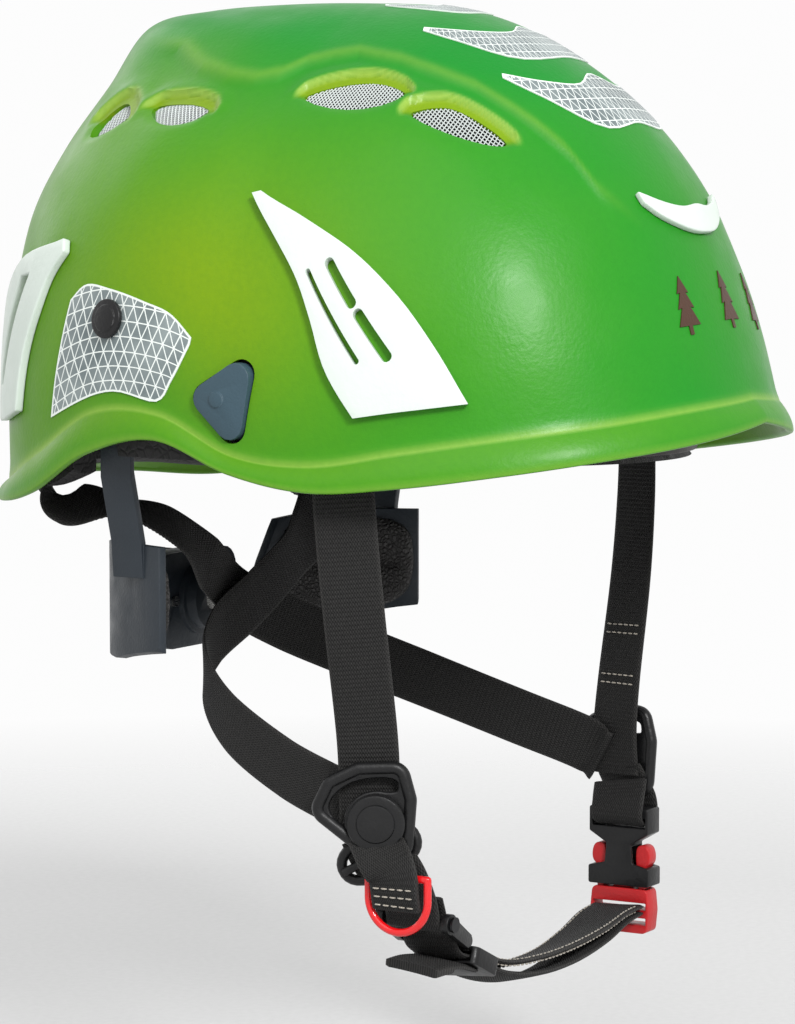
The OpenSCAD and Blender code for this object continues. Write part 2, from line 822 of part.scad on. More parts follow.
module divider(at, turn) {
    outline = [[-9, 13], [0, 16], [12, 13], [14, -3], [12, -13], [-12, -13], [-17, -2]];
    color([0.1, 0.1, 0.11])
        difference() {
            on_cheek(at, turn)
                linear_extrude(3, center = true)
                    polygon(rounded(outline, 3));
            on_cheek(at, turn) {
                translate([1, 8.5, 0]) cube([21, 3.4, 10], center = true);
                translate([-8.5, -1, 0]) rotate(62) cube([15, 3.4, 10], center = true);
                translate([0, -9, 0]) cube([21, 2.8, 10], center = true);
            }
        }
}

module divider_right() {
    divider(divider_at, divider_turn);
}

module divider_left() {
    left() divider(divider_left_at, divider_left_turn);
}

module divider_cap(at, turn) {
    color([0.08, 0.08, 0.09])
        on_cheek(at, turn)
            translate([2.5, -2, 1.7]) {
                cylinder(r = 9.5, h = 3, $fn = 64);
                cylinder(r = 6, h = 3.8, $fn = 64);
            }
}

module divider_cap_right() {
    divider_cap(divider_at, divider_turn);
}

module divider_cap_left() {
    left() divider_cap(divider_left_at, divider_left_turn);
}

// ---- Chin strap and its hardware ----

// The chin strap swings about this bar, which runs along Y
link_at = [-71, -48, -142];
ring_at_bar = [-82, -47.5, -126];
bar_r = 1.6;
lug_out = 13.4;
lug_in = 10.9;
buckle_x = 75;
buckle_y = -50.5;
buckle_bottom = -153;

module y_cylinder(at, r, y0, y1) {
    translate([at[0], at[1] + y0, at[2]])
        rotate([-90, 0, 0])
            cylinder(r = r, h = y1 - y0, $fn = 40);
}

module link_webbing_right() {
    color([0.14, 0.13, 0.12])
        strap([[-78.2, -34.7, -113], [-76.2, -38, -121], [-75, -44.5, -129], [-73, -47.4, -135], [-71.6, -48, -138.8]],
            [[-0.42, 0.9, 0], [-0.35, 0.92, 0], [-0.15, 0.97, 0], [0, 1, 0], [0, 1, 0]], 3);
}

module link_webbing_left() {
    color([0.14, 0.13, 0.12])
        strap([[76.5, -47.2, -112], [75.6, -49, -116], [75.1, -50.4, -120], [75, -50.5, -124]],
            [[0.15, 1, 0], [0.1, 1, 0], [0, 1, 0], [0, 1, 0]], 3);
}

module link_bar_right() {
    color("silver") {
        y_cylinder(link_at, bar_r, -lug_out - 0.6, lug_out + 0.6);
        for (y = [-lug_out - 1.4, lug_out + 0.6])
            y_cylinder(link_at, bar_r + 1, y, y + 0.8);
    }
}

chin_start = [-59, -50.5, -149.5];
chin_route = [[-58.4, -48.4, -153.6], [-50, -49.5, -158.1], [-32, -51.9, -166.5], [-10, -53.6, -171], [14, -54, -171.5],
    [38, -53, -168.5], [57, -51.3, -164.5], [69.9, -50.5, -163]];
chin_width = [for (p = chin_route) [0, 0.96, -0.28 * exp(-pow((p[0] - 5) / 45, 2))]];

module chin_webbing() {
    color([0.14, 0.13, 0.12]) strap(chin_route, chin_width, 4);
}

module chin_link() {
    dx = chin_start[0] - link_at[0];
    dz = chin_start[2] - link_at[2];
    color([0.1, 0.1, 0.11])
        difference() {
            union() {
                for (y = [-lug_out, lug_in])
                    translate([link_at[0], link_at[1] + y, link_at[2]])
                        rotate([-90, 0, 0]) {
                            cylinder(r = 3.4, h = lug_out - lug_in, $fn = 40);
                            linear_extrude(lug_out - lug_in)
                                polygon([[-1.4, 2.4], [1.4, -2.4], [dx + 1.4, -dz - 1.8], [dx - 0.8, -dz + 2.2]]);
                        }
                y_cylinder([chin_start[0], link_at[1], chin_start[2]], 1.9, -lug_out, lug_out);
            }
            y_cylinder(link_at, bar_r + run_gap, -20, 20);
        }
}

module chin_slider() {
    color([0.1, 0.1, 0.11])
        translate([-48, -49.8, -159.1])
            rotate([-6.4, 26.7, -7.6])
                difference() {
                    linear_extrude(6, center = true)
                        polygon(rounded(box_points(15, 26), 2.5));
                    cube([30, 21.6, 4], center = true);
                }
}

module carry_ring() {
    r = 1.3;
    half = 11;
    color("red")
        translate(ring_at_bar) {
            rotate([90, 0, 0])
                cylinder(r = r, h = 2 * half, center = true, $fn = 32);
            for (y = [-half, half])
                translate([0, y, 0]) {
                    sphere(r = r, $fn = 32);
                    translate([0, 0, -7])
                        cylinder(r = r, h = 7, $fn = 32);
                }
            translate([0, 0, -7])
                rotate([0, 90, 0])
                    rotate([0, 0, -90])
                        rotate_extrude(angle = 180, $fn = 64)
                            translate([half, 0]) circle(r = r, $fn = 32);
        }
}

module x_plate(x0, x1, pts, r) {
    translate([x0, 0, 0])
        rotate([90, 0, 90])
            linear_extrude(x1 - x0)
                polygon(rounded(pts, r));
}

module buckle_socket() {
    b = buckle_y;
    z = buckle_bottom;
    h = buckle_w / 2;
    side = [[h + 1, z], [h + 1, z + 6.5], [5.5, z + 8], [4.8, z + 15], [h + 0.6, z + 19], [h + 0.6, z + 28]];
    outline = concat(
        [for (p = side) [b + p[0], p[1]]],
        [for (i = [len(side) - 1:-1:0]) [b - side[i][0], side[i][1]]]);
    color([0.08, 0.08, 0.09])
        difference() {
            x_plate(buckle_x - 4.8, buckle_x + 4.8, outline, 0.8);
            translate([buckle_x - 3.4, b - h + 0.7, z - 1])
                cube([6.8, 2 * h - 1.4, 15]);
            translate([buckle_x - 10, b - 10.5, z + 21])
                cube([20, 21, 3.6]);
        }
}

module buckle_plug() {
    b = buckle_y;
    z = buckle_bottom - 1;
    h = buckle_w / 2 - 0.2;
    color([0.75, 0.15, 0.17])
        difference() {
            union() {
                x_plate(buckle_x - 4, buckle_x + 4,
                    [[b - h, z], [b + h, z], [b + h + 0.8, z - 8], [b + h, z - 16], [b - h, z - 16], [b - h - 0.8, z - 8]], 2);
                x_plate(buckle_x - 1.8, buckle_x + 1.8,
                    [[b - 3.4, z - 1], [b + 3.4, z - 1], [b + 2.6, z + 12], [b - 2.6, z + 12]], 0.8);
            }
            translate([buckle_x - 10, b - 10.4, z - 13])
                cube([20, 20.8, 2.6]);
            translate([buckle_x - 10, b - 10.4, z - 7.6])
                cube([20, 20.8, 2.6]);
            for (y = [b - 8.2, b + 8.2])
                translate([buckle_x - 2.4, y - 1.9, z - 3.2])
                    cube([4.8, 3.8, 4.8]);
        }
}

// Sprung side prong of the plug; to is +1 for the rear one
module prong(to) {
    z = buckle_bottom - 1;
    color([0.75, 0.15, 0.17]) {
        translate([buckle_x - 2, buckle_y + to * 8.2, z - 1.5])
            rotate([0, 90, 0])
                cylinder(r = 1.3, h = 4, $fn = 32);
        x_plate(buckle_x - 2, buckle_x + 2,
            [for (p = [[6.9, -1.5], [9.5, -1.5], [9.6, 5], [10, 9.5], [9, 12.5], [7.4, 12.5], [7, 5]])
                [buckle_y + to * p[0], z + p[1]]], 0.5);
    }
}

module buckle_prong_front() {
    prong(-1);
}

module buckle_prong_rear() {
    prong(1);
}

outer_shell();
foam_liner();
vent_mesh_right();
vent_mesh_left();
front_lamp_clip_right();
front_lamp_clip_left();
rear_lamp_clip_right();
rear_lamp_clip_left();
front_goggle_clip();
side_reflector_right();
side_reflector_left();
crown_reflectors();
front_emblem();
side_badge_right();
side_badge_left();
visor_plug_right();
visor_plug_left();
headband();
brow_pad();
crown_pad();
hanger_retainer_right();
hanger_retainer_left();
hanger_pin_right();
hanger_pin_left();
strap_anchors_front();
strap_anchors_rear();
front_strap_right();
front_strap_left();
rear_strap_right();
rear_strap_left();
divider_right();
divider_cap_right();
divider_left();
divider_cap_left();
link_webbing_right();
link_webbing_left();
link_bar_right();
buckle_socket();
chin_webbing();
chin_slider();
chin_link();
buckle_plug();
buckle_prong_front();
buckle_prong_rear();
carry_ring();
nape_housing();
nape_cover();
nape_screws();
nape_arm_right();
nape_arm_left();
nape_pad_right();
nape_pad_left();
nape_knob();
nape_pinion();
knob_axle();
click_spring();
click_ring();
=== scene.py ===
"""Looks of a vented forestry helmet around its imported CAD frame: metres, +Z up, front at -Y."""

import json
import math
from contextlib import contextmanager

import bmesh
import bpy
import numpy as np
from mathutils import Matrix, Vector
from mathutils.geometry import delaunay_2d_cdt
from mathutils.kdtree import KDTree

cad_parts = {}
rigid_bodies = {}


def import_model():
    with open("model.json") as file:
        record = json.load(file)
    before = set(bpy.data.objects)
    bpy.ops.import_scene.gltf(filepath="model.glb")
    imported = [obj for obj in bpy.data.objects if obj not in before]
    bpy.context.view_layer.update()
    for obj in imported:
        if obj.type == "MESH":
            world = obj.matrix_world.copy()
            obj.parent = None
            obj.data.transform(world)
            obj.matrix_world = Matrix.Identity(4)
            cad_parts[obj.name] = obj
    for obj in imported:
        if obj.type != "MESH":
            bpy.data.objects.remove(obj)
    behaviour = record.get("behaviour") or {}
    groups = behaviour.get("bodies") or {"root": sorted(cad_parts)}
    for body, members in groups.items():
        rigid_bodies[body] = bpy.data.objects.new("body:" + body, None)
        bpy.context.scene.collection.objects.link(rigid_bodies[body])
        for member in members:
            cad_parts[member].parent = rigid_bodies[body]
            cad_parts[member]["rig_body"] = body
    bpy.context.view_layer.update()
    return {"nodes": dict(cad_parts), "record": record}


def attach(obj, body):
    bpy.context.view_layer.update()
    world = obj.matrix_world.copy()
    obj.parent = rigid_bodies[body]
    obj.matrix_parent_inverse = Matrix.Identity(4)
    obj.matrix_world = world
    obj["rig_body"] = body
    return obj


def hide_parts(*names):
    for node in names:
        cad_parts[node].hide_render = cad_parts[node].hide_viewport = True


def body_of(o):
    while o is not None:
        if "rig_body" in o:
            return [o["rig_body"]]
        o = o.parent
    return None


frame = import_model()
nodes = frame["nodes"]
MM = 0.001

# ---- camera, light and floor

TARGET = Vector((0, 0, -0.016))
AZIMUTH, ELEVATION, DISTANCE = math.radians(-60), math.radians(5), 1.3
LENS, SENSOR = 132.5, 36
LEVEL = math.cos(ELEVATION)
back = Vector((math.sin(AZIMUTH) * LEVEL, -math.cos(AZIMUTH) * LEVEL, math.sin(ELEVATION)))
camera = bpy.data.objects.new("camera", bpy.data.cameras.new("camera"))
camera.data.lens, camera.data.sensor_width = LENS, SENSOR
camera.data.clip_start = 0.05
camera.location = TARGET + back * DISTANCE
camera.rotation_mode = "QUATERNION"
camera.rotation_quaternion = (-back).to_track_quat("-Z", "Y")
bpy.context.scene.collection.objects.link(camera)
bpy.context.scene.camera = camera
bpy.context.scene.view_settings.view_transform = "Standard"


def area_light(name, place, size, power):
    lamp = bpy.data.objects.new(name, bpy.data.lights.new(name, "AREA"))
    lamp.data.shape = "DISK"
    lamp.data.size = size
    lamp.data.energy = power
    lamp.location = place
    lamp.rotation_mode = "QUATERNION"
    lamp.rotation_quaternion = (Vector(place) - TARGET).to_track_quat("Z", "Y")
    bpy.context.scene.collection.objects.link(lamp)


area_light("key", (-1.3, -0.2, 1.5), 1.7, 12)
area_light("front", (-0.9, -1.15, 0.85), 0.42, 27)
area_light("rim", (0.5, 1.7, 0.9), 1.4, 6)
world = bpy.data.worlds.new("studio")
world.use_nodes = True
STUDIO_WHITE, STUDIO_POWER = (1, 1, 1, 1), 0.98
for socket, value in enumerate((STUDIO_WHITE, STUDIO_POWER)):
    world.node_tree.nodes["Background"].inputs[socket].default_value = value
bpy.context.scene.world = world

FLOOR_Z, FLOOR_R = -0.242, 1.3
FLOOR_TONES = (0.535, 0.56)
FADE_FROM, FADE_TO = 0.55, 1.1


def floor():
    """Pale floor whose edge fades away, so that it meets the white studio with no line."""
    bm = bmesh.new()
    bmesh.ops.create_circle(bm, cap_ends=True, segments=96, radius=FLOOR_R)
    mesh = bpy.data.meshes.new("floor")
    bm.to_mesh(mesh)
    bm.free()
    obj = bpy.data.objects.new("floor", mesh)
    obj.location = (0, 0, FLOOR_Z)
    bpy.context.scene.collection.objects.link(obj)
    look = Look("floor_pale", 0.9, Specular_IOR_Level=0.05)
    squares = [look.times(x, x) for x in look.split(look.place())[:2]]
    away = look.maths("SQRT", look.add(*squares))
    tone = look.ramp(look.noise(300, 3), 0.3, 0.7, *FLOOR_TONES)
    grey = look.node("CombineColor", Red=tone, Green=tone, Blue=tone)
    look.link(grey.outputs[0], "Base Color")
    look.link(look.ramp(away, FADE_FROM, FADE_TO, 1, 0), "Alpha")
    mesh.materials.append(look.mat)


# ---- materials


def srgb(r, g, b):
    """Linear RGBA of an sRGB colour given from 0 to 255."""
    parts = [c / 255 for c in (r, g, b)]
    return (*(c / 12.92 if c <= 0.04045 else ((c + 0.055) / 1.055) ** 2.4 for c in parts), 1)


def tint(colour, times, plus=0.0):
    """A colour made darker or lighter."""
    return (*(min(c * times + plus, 1) for c in colour[:3]), 1)


class Look:
    """A Principled material and short calls to build its nodes."""

    def __init__(self, name, rough=0.5, **settings):
        self.mat = bpy.data.materials.new(name)
        self.mat.use_nodes = True
        self.tree = self.mat.node_tree
        self.shader = self.tree.nodes["Principled BSDF"]
        self.put("Roughness", rough)
        for key, value in settings.items():
            self.put(key.replace("_", " "), value)

    def put(self, socket, value):
        self.shader.inputs[socket].default_value = value

    def node(self, kind, **inputs):
        n = self.tree.nodes.new("ShaderNode" + kind)
        return self.feed(n, inputs.items())

    def link(self, value, socket):
        self.tree.links.new(value, self.shader.inputs[socket])

    def place(self):
        return self.node("TexCoord").outputs["Object"]

    def noise(self, scale, detail=3, vector=None, rough=0.5):
        n = self.node("TexNoise", Scale=scale, Detail=detail, Roughness=rough)
        self.tree.links.new(vector or self.place(), n.inputs["Vector"])
        return n.outputs["Fac"]

    def feed(self, node, values):
        """Gives numbered sockets of a node their values or links."""
        for i, v in values:
            if isinstance(v, bpy.types.NodeSocket):
                self.tree.links.new(v, node.inputs[i])
            else:
                node.inputs[i].default_value = v
        return node

    def maths(self, operation, a, b=0.0):
        n = self.tree.nodes.new("ShaderNodeMath")
        n.operation = operation
        return self.feed(n, enumerate((a, b))).outputs[0]

    def add(self, a, b):
        return self.maths("ADD", a, b)

    def times(self, a, b):
        return self.maths("MULTIPLY", a, b)

    def split(self, vector):
        return self.node("SeparateXYZ", Vector=vector).outputs

    def seams(self, scale, wide):
        """0 on the borders of a cell pattern, rising to 1 inside the cells."""
        n = self.node("TexVoronoi", Scale=scale)
        n.feature = "DISTANCE_TO_EDGE"
        self.tree.links.new(self.place(), n.inputs["Vector"])
        return self.ramp(n.outputs["Distance"], 0, wide)

    def ramp(self, value, lo, hi, to_lo=0.0, to_hi=1.0):
        n = self.node("MapRange")
        self.tree.links.new(value, n.inputs["Value"])
        for key, v in zip(("From Min", "From Max", "To Min", "To Max"), (lo, hi, to_lo, to_hi)):
            n.inputs[key].default_value = v
        return n.outputs["Result"]

    def mix(self, factor, a, b):
        n = self.tree.nodes.new("ShaderNodeMix")
        n.data_type = "RGBA"
        return self.feed(n, ((0, factor), (6, a), (7, b))).outputs[2]

    def attribute(self, name):
        n = self.tree.nodes.new("ShaderNodeAttribute")
        n.attribute_name = name
        return n.outputs["Fac"]

    def bump(self, height, depth, strength=1.0):
        """Bump of a height from 0 to 1 that stands for depth metres."""
        n = self.node("Bump", Strength=strength, Distance=depth, Height=height)
        self.link(n.outputs[0], "Normal")


def plastic(name, colour, rough=0.38, grain=900, depth=0.00012, vary=0.12, **settings):
    """Moulded plastic: fine grain, faint mottling and a little wear in its gloss."""
    settings.setdefault("Specular_IOR_Level", 0.28)
    look = Look(name, rough, **settings)
    dark, light = tint(colour, 1 - vary), tint(colour, 1 + vary, 0.004)
    look.link(look.mix(look.noise(60, 4), dark, light), "Base Color")
    look.link(look.ramp(look.noise(140, 5), 0.3, 0.7, rough - 0.07, rough + 0.09), "Roughness")
    look.bump(look.noise(grain, 2), depth)
    return look.mat


def shell_look():
    """Gloss polypropylene, emerald at the crown, with a painted lime glow on its lower sides and vent
    lips, standing for light through the thin shell, and painted pale highlights on its crests, vent lips
    and rim.
    """
    look = Look("shell_green", 0.34, Coat_Weight=0.03, Coat_Roughness=0.15, Specular_IOR_Level=0.13)
    cloud = look.noise(9, 3)
    # Painted glow: the lime attribute lightens the green where light would shine through the thin shell,
    # mixed with a little random mottle.
    lime_glow = look.attribute("lime_glow")
    glow_and_mottle = look.ramp(look.add(lime_glow, look.ramp(cloud, 0.35, 0.65, -0.05, 0.05)), 0, 1)
    base = look.mix(look.attribute("crown"), srgb(46, 122, 20), srgb(0, 116, 32))
    base = look.mix(glow_and_mottle, base, srgb(106, 134, 8))
    # Painted highlight: the edge attribute lays a pale green along crests, vent lips, the crease and the
    # rim, where light would catch them.
    base = look.mix(look.attribute("edge"), base, srgb(138, 166, 70))
    speck = look.ramp(look.noise(420, 2), 0.35, 0.75, 0, 0.09)
    look.link(look.mix(speck, base, srgb(16, 92, 24)), "Base Color")
    look.link(look.ramp(look.noise(70, 6), 0.3, 0.7, 0.3, 0.42), "Roughness")
    look.bump(look.add(look.noise(700, 2), look.noise(120, 2)), 0.00008)
    return look.mat


def webbing_look(name, colour, edge):
    """Woven polyester: fine twill over the modelled ribs, a firmer selvedge and loose fibres."""
    look = Look(name, 0.7, Sheen_Weight=0.04, Sheen_Roughness=0.4, Specular_IOR_Level=0.2)
    along, across = look.split(look.node("UVMap").outputs[0])[:2]
    yarn, rib = (
        look.maths("SINE", look.times(way, 2 * math.pi / pitch))
        for way, pitch in ((across, 0.0009), (along, 0.0015))
    )
    height = look.ramp(look.times(yarn, rib), -1, 1)
    fuzz = look.noise(1100, 4)
    tone = look.add(look.times(height, 0.6), look.times(fuzz, 0.5))
    worn = look.ramp(look.maths("ABSOLUTE", across), 0.0088, 0.01, 0, 0.35)
    look.link(look.mix(look.ramp(look.add(tone, worn), 0.3, 1.1), colour, edge), "Base Color")
    look.bump(look.add(height, look.times(fuzz, 0.4)), 0.0002)
    return look.mat


def foam_look(name, colour, cell, rough=0.8):
    """Expanded foam: fused beads with thin darker seams."""
    look = Look(name, rough)
    seam = look.seams(1 / cell, 0.18)
    look.link(look.mix(seam, tint(colour, 0.5), colour), "Base Color")
    look.bump(look.add(seam, look.times(look.noise(1500, 3), 0.3)), 0.0003)
    return look.mat


def fabric_look(name, colour, edge, pitch=0.0011, depth=0.0003):
    """Knitted lining: two crossed sets of fine stitches with fuzz."""
    look = Look(name, 0.85, Sheen_Weight=0.35, Sheen_Roughness=0.5)
    waves = [
        look.maths("SINE", look.times(way, 2 * math.pi / pitch)) for way in look.split(look.place())
    ]
    weave = look.times(look.add(waves[0], waves[1]), waves[2])
    fuzz = look.noise(1200, 4)
    tone = look.add(look.ramp(weave, -2, 2, 0, 0.6), look.times(fuzz, 0.4))
    look.link(look.mix(look.ramp(tone, 0.2, 0.8), colour, edge), "Base Color")
    look.bump(tone, depth)
    return look.mat


def leather_look(name, colour):
    """Grained leatherette: pebbles of uneven size with creases between."""
    look = Look(name, 0.55)
    pebble, big = look.seams(620, 0.3), look.noise(240, 4)
    light = tint(colour, 2.2, 0.01)
    look.link(look.mix(look.times(pebble, big), colour, light), "Base Color")
    look.link(look.ramp(pebble, 0, 1, 0.75, 0.45), "Roughness")
    look.bump(look.add(pebble, big), 0.0004)
    return look.mat


def metal_look(name, colour, rough=0.25):
    """Drawn steel with fine scratches."""
    look = Look(name, rough, Metallic=1.0)
    stretch = look.node("Mapping", Vector=look.place(), Scale=(200, 4000, 4000))
    scratch = look.noise(1, 4, vector=stretch.outputs[0])
    look.link(look.mix(scratch, tint(colour, 0.75), colour), "Base Color")
    look.link(look.ramp(scratch, 0.3, 0.7, rough - 0.06, rough + 0.12), "Roughness")
    look.bump(scratch, 0.00004)
    return look.mat


def reflector_look():
    """Grey reflective film printed with white triangles; its UVs are metres on the film."""
    look = Look("reflector_silver", 0.4, Metallic=0.2)
    x, y = look.split(look.node("UVMap").outputs[0])[:2]
    lines = look.ramp(look.attribute("margin"), 0.75, 0.5)
    row, base = 0.0048, 0.0040
    slant = 0.5 / row
    for along, up, width in ((0, 1 / row, 0.034), (1 / base, slant, 0.046), (1 / base, -slant, 0.046)):
        phase = look.add(look.times(x, along), look.times(y, up))
        saw = look.maths("ABSOLUTE", look.maths("SUBTRACT", look.maths("FRACT", phase), 0.5))
        lines = look.maths("MAXIMUM", lines, look.ramp(saw, 0.5 - width - 0.012, 0.5 - width))
    cloud = look.noise(60, 3)
    film = look.mix(look.ramp(cloud, 0.3, 0.7), srgb(84, 96, 98), srgb(128, 138, 138))
    look.link(look.mix(lines, film, srgb(214, 220, 216)), "Base Color")
    look.bump(look.add(look.noise(2500, 2), lines), 0.00004)
    return look.mat


def thread_look():
    """Waxed sewing thread: a twisted pair of strands."""
    look = Look("thread_grey", 0.6, Sheen_Weight=0.3)
    fibre = look.noise(2400, 3)
    look.link(look.mix(look.ramp(fibre, 0.3, 0.7), srgb(96, 90, 82), srgb(176, 168, 154)), "Base Color")
    look.bump(fibre, 0.0001)
    return look.mat


PLASTICS = {  # sRGB colour, roughness, and where they differ grain, depth of grain and mottling
    "mesh_white": (176, 182, 180, 0.45),
    "clip_white": (186, 196, 188, 0.36, 500, 0.0001, 0.03),
    "emblem_brown": (62, 40, 28, 0.4),
    "badge_black": (14, 14, 15, 0.3),
    "plug_slate": (48, 68, 78, 0.42),
    "frame_plastic": (44, 40, 38, 0.5),
    "buckle_black": (13, 13, 14, 0.36, 700, 0.00012, 0.25),
    "buckle_red": (166, 24, 28, 0.36),
    "nape_grey": (36, 42, 48, 0.45),
    "knob_black": (28, 28, 30, 0.45),
    "gear_white": (214, 210, 198, 0.4),
}
LOOKS = {name: plastic(name, srgb(*row[:3]), *row[3:]) for name, row in PLASTICS.items()}
LOOKS |= {
    "shell_green": shell_look(),
    "liner_black": foam_look("liner_black", srgb(24, 23, 24), 0.0036),
    "reflector_silver": reflector_look(),
    "pad_fabric": fabric_look("pad_fabric", srgb(22, 21, 22), srgb(52, 50, 50)),
    "steel": metal_look("steel", srgb(196, 196, 192)),
    "webbing_black": webbing_look("webbing_black", srgb(11, 11, 11), srgb(46, 45, 44)),
    "ring_red": plastic("ring_red", srgb(196, 8, 14), 0.16, 300, 0.00003, 0.05, Coat_Weight=0.6),
    "pad_leather": leather_look("pad_leather", srgb(20, 18, 17)),
    "thread_grey": thread_look(),
}

floor()
slot_of = {p["node"]: p["material_slot"] for p in frame["record"]["subparts"]}
for name, obj in nodes.items():
    obj.data.materials.clear()
    obj.data.materials.append(LOOKS[slot_of[name]])


# ---- the dome, as in the CAD

FRONT_R = [133.5, 127, 119, 108.5, 94, 77, 58, 39, 20, 0]
FRONT_Z = [27, 50, 72, 94, 114, 130, 143, 152, 156.5, 158]
SIDE_R = [106, 105.3, 101.5, 93.5, 81, 66, 49, 32, 16, 0]
SIDE_Z = [14, 36, 60, 84, 107, 126, 141, 151, 156.5, 158]
REAR_R = [137, 137.5, 136, 131, 120, 106, 93, 70, 35, 0]
REAR_Z = [0, 32, 62, 90, 112, 132, 152, 157, 158.5, 158]
CREASE_Z = [27, 24.5, 20.5, 16.5, 12, 7.5, 10, 22, 22, 7, -4, -5, -5]
RIM_Z = [20, 15, 10.5, 6, 2, 0, 5, 14.8, 9, -6, -11, -8.5, -7]
RIM_FLARE = [5.5, 5, 4.5, 4, 4, 4.5, 5]
SHELL_T, LINER_OUT, LINER_T = 3.0, -4.4, 15.0


def spline(table, u):
    """Smooth curve through equally spaced rows of a table, for an array u from 0 to 1."""
    tab = np.asarray(table, float)
    u = np.clip(np.asarray(u, float), 0, 1)
    n = len(tab) - 1
    i = np.minimum(np.floor(u * n).astype(int), n - 1)
    t = u * n - i
    if tab.ndim > 1:
        t = t[..., None]
    ends = np.concatenate([[2 * tab[0] - tab[1]], tab, [2 * tab[-1] - tab[-2]]])
    a, b, c, d = ends[i], ends[i + 1], ends[i + 2], ends[i + 3]
    return 0.5 * (
        2 * b + (c - a) * t + (2 * a - 5 * b + 4 * c - d) * t**2 + (3 * b - a - 3 * c + d) * t**3
    )


def around(a):
    return np.abs((np.asarray(a, float) + 540) % 360 - 180)


def dome(a, s):
    """Points of the shell's outer surface in millimetres, as in the CAD."""
    a, s = np.broadcast_arrays(np.asarray(a, float), np.asarray(s, float))
    rear = around(a) > 90
    c, q = np.abs(np.cos(np.radians(a))), np.abs(np.sin(np.radians(a)))
    w = q * q
    long_r = np.where(rear, spline(REAR_R, s), spline(FRONT_R, s))
    long_z = np.where(rear, spline(REAR_Z, s), spline(FRONT_Z, s))
    e = np.where(rear, 2.35, 2.1)
    side_r = spline(SIDE_R, s)
    with np.errstate(divide="ignore", invalid="ignore"):
        r = ((q / side_r) ** e + (c / long_r) ** e) ** (-1 / e)
    r = np.where(s >= 1, 0, r)
    base = np.where(rear, REAR_Z[0], FRONT_Z[0]) * (1 - w) + SIDE_Z[0] * w
    z = long_z * (1 - w) + spline(SIDE_Z, s) * w
    z = z + (spline(CREASE_Z, around(a) / 180) - base) * (1 - s) ** 2
    return np.stack([r * np.sin(np.radians(a)), -r * np.cos(np.radians(a)), z], -1)


def outward(a, s):
    a, s = np.broadcast_arrays(np.asarray(a, float), np.asarray(s, float))
    h = np.minimum(s, 0.985)
    u = dome(a + 1, h) - dome(a - 1, h)
    v = dome(a, h + 0.01) - dome(a, np.maximum(h - 0.01, 0))
    n = np.cross(u, v)
    n /= np.linalg.norm(n, axis=-1, keepdims=True)
    return np.where((s > 0.985)[..., None], [0, 0, 1], n)


def skin(a, s, off):
    return dome(a, s) + np.asarray(off, float)[..., None] * outward(a, s)


def rim(a, inset, lift):
    p = dome(a, np.zeros_like(a))
    r = np.hypot(p[..., 0], p[..., 1])
    k = (r + spline(RIM_FLARE, around(a) / 180) - inset) / r
    z = spline(RIM_Z, around(a) / 180) + lift
    return np.stack([p[..., 0] * k, p[..., 1] * k, z], -1)


def smooth(x, lo=0.0, hi=1.0):
    t = np.clip((np.asarray(x, float) - lo) / (hi - lo), 0, 1)
    return t * t * (3 - 2 * t)


# ---- mesh helpers


def piece(name, verts, faces, slot, body="root", replaces=(), angle=35, uv=None, look=None):
    """A mesh piece from points in millimetres, smooth but for edges sharper than angle."""
    mesh = bpy.data.meshes.new(name)
    mesh.from_pydata((np.asarray(verts, float) * MM).tolist(), [], [list(f) for f in faces])
    mesh.update()
    obj = bpy.data.objects.new(name, mesh)
    bpy.context.scene.collection.objects.link(obj)
    mesh.materials.append(LOOKS[look or slot])
    if uv is not None:
        layer = mesh.uv_layers.new(name="UVMap")
        flat = np.asarray(uv, float)[[v for p in mesh.polygons for v in p.vertices]]
        layer.data.foreach_set("uv", (flat * MM).ravel())
    shade(obj, angle)
    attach(obj, body)
    if replaces:
        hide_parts(*replaces)
    return obj


def shade(obj, angle):
    obj.data.shade_smooth()
    if angle < 180:
        obj.data.set_sharp_from_angle(angle=math.radians(angle))


def apply_modifiers(obj):
    dg = bpy.context.evaluated_depsgraph_get()
    mesh = bpy.data.meshes.new_from_object(obj.evaluated_get(dg))
    obj.modifiers.clear()
    obj.data = mesh


def bevel(obj, width, segments=3, angle=35):
    m = obj.modifiers.new("bevel", "BEVEL")
    m.width = width * MM
    m.segments = segments
    m.limit_method = "ANGLE"
    m.angle_limit = math.radians(angle)
    apply_modifiers(obj)
    shade(obj, 50)


@contextmanager
def editing(mesh):
    """A mesh opened for bmesh work, and written back at the end."""
    bm = bmesh.new()
    bm.from_mesh(mesh)
    yield bm
    bm.to_mesh(mesh)
    bm.free()


def tidy_normals(obj):
    with editing(obj.data) as bm:
        bmesh.ops.recalc_face_normals(bm, faces=bm.faces)


def store(obj, key, values):
    """Keeps a number for every vertex, which a material reads as an attribute."""
    layer = obj.data.attributes.new(key, "FLOAT", "POINT")
    layer.data.foreach_set("value", np.asarray(values, np.float32))


def unit(v):
    return v / np.linalg.norm(v, axis=-1, keepdims=True)


def stacked_rings(m, cols):
    """Faces of m closed rings of points joined in turn, with a tip point at each end."""
    faces = []
    for j in range(m - 1):
        for i in range(cols):
            n = (i + 1) % cols
            faces.append([j * cols + i, j * cols + n, (j + 1) * cols + n, (j + 1) * cols + i])
    last = (m - 1) * cols
    faces += [[(i + 1) % cols, i, m * cols] for i in range(cols)]
    return faces + [[last + i, last + (i + 1) % cols, m * cols + 1] for i in range(cols)]


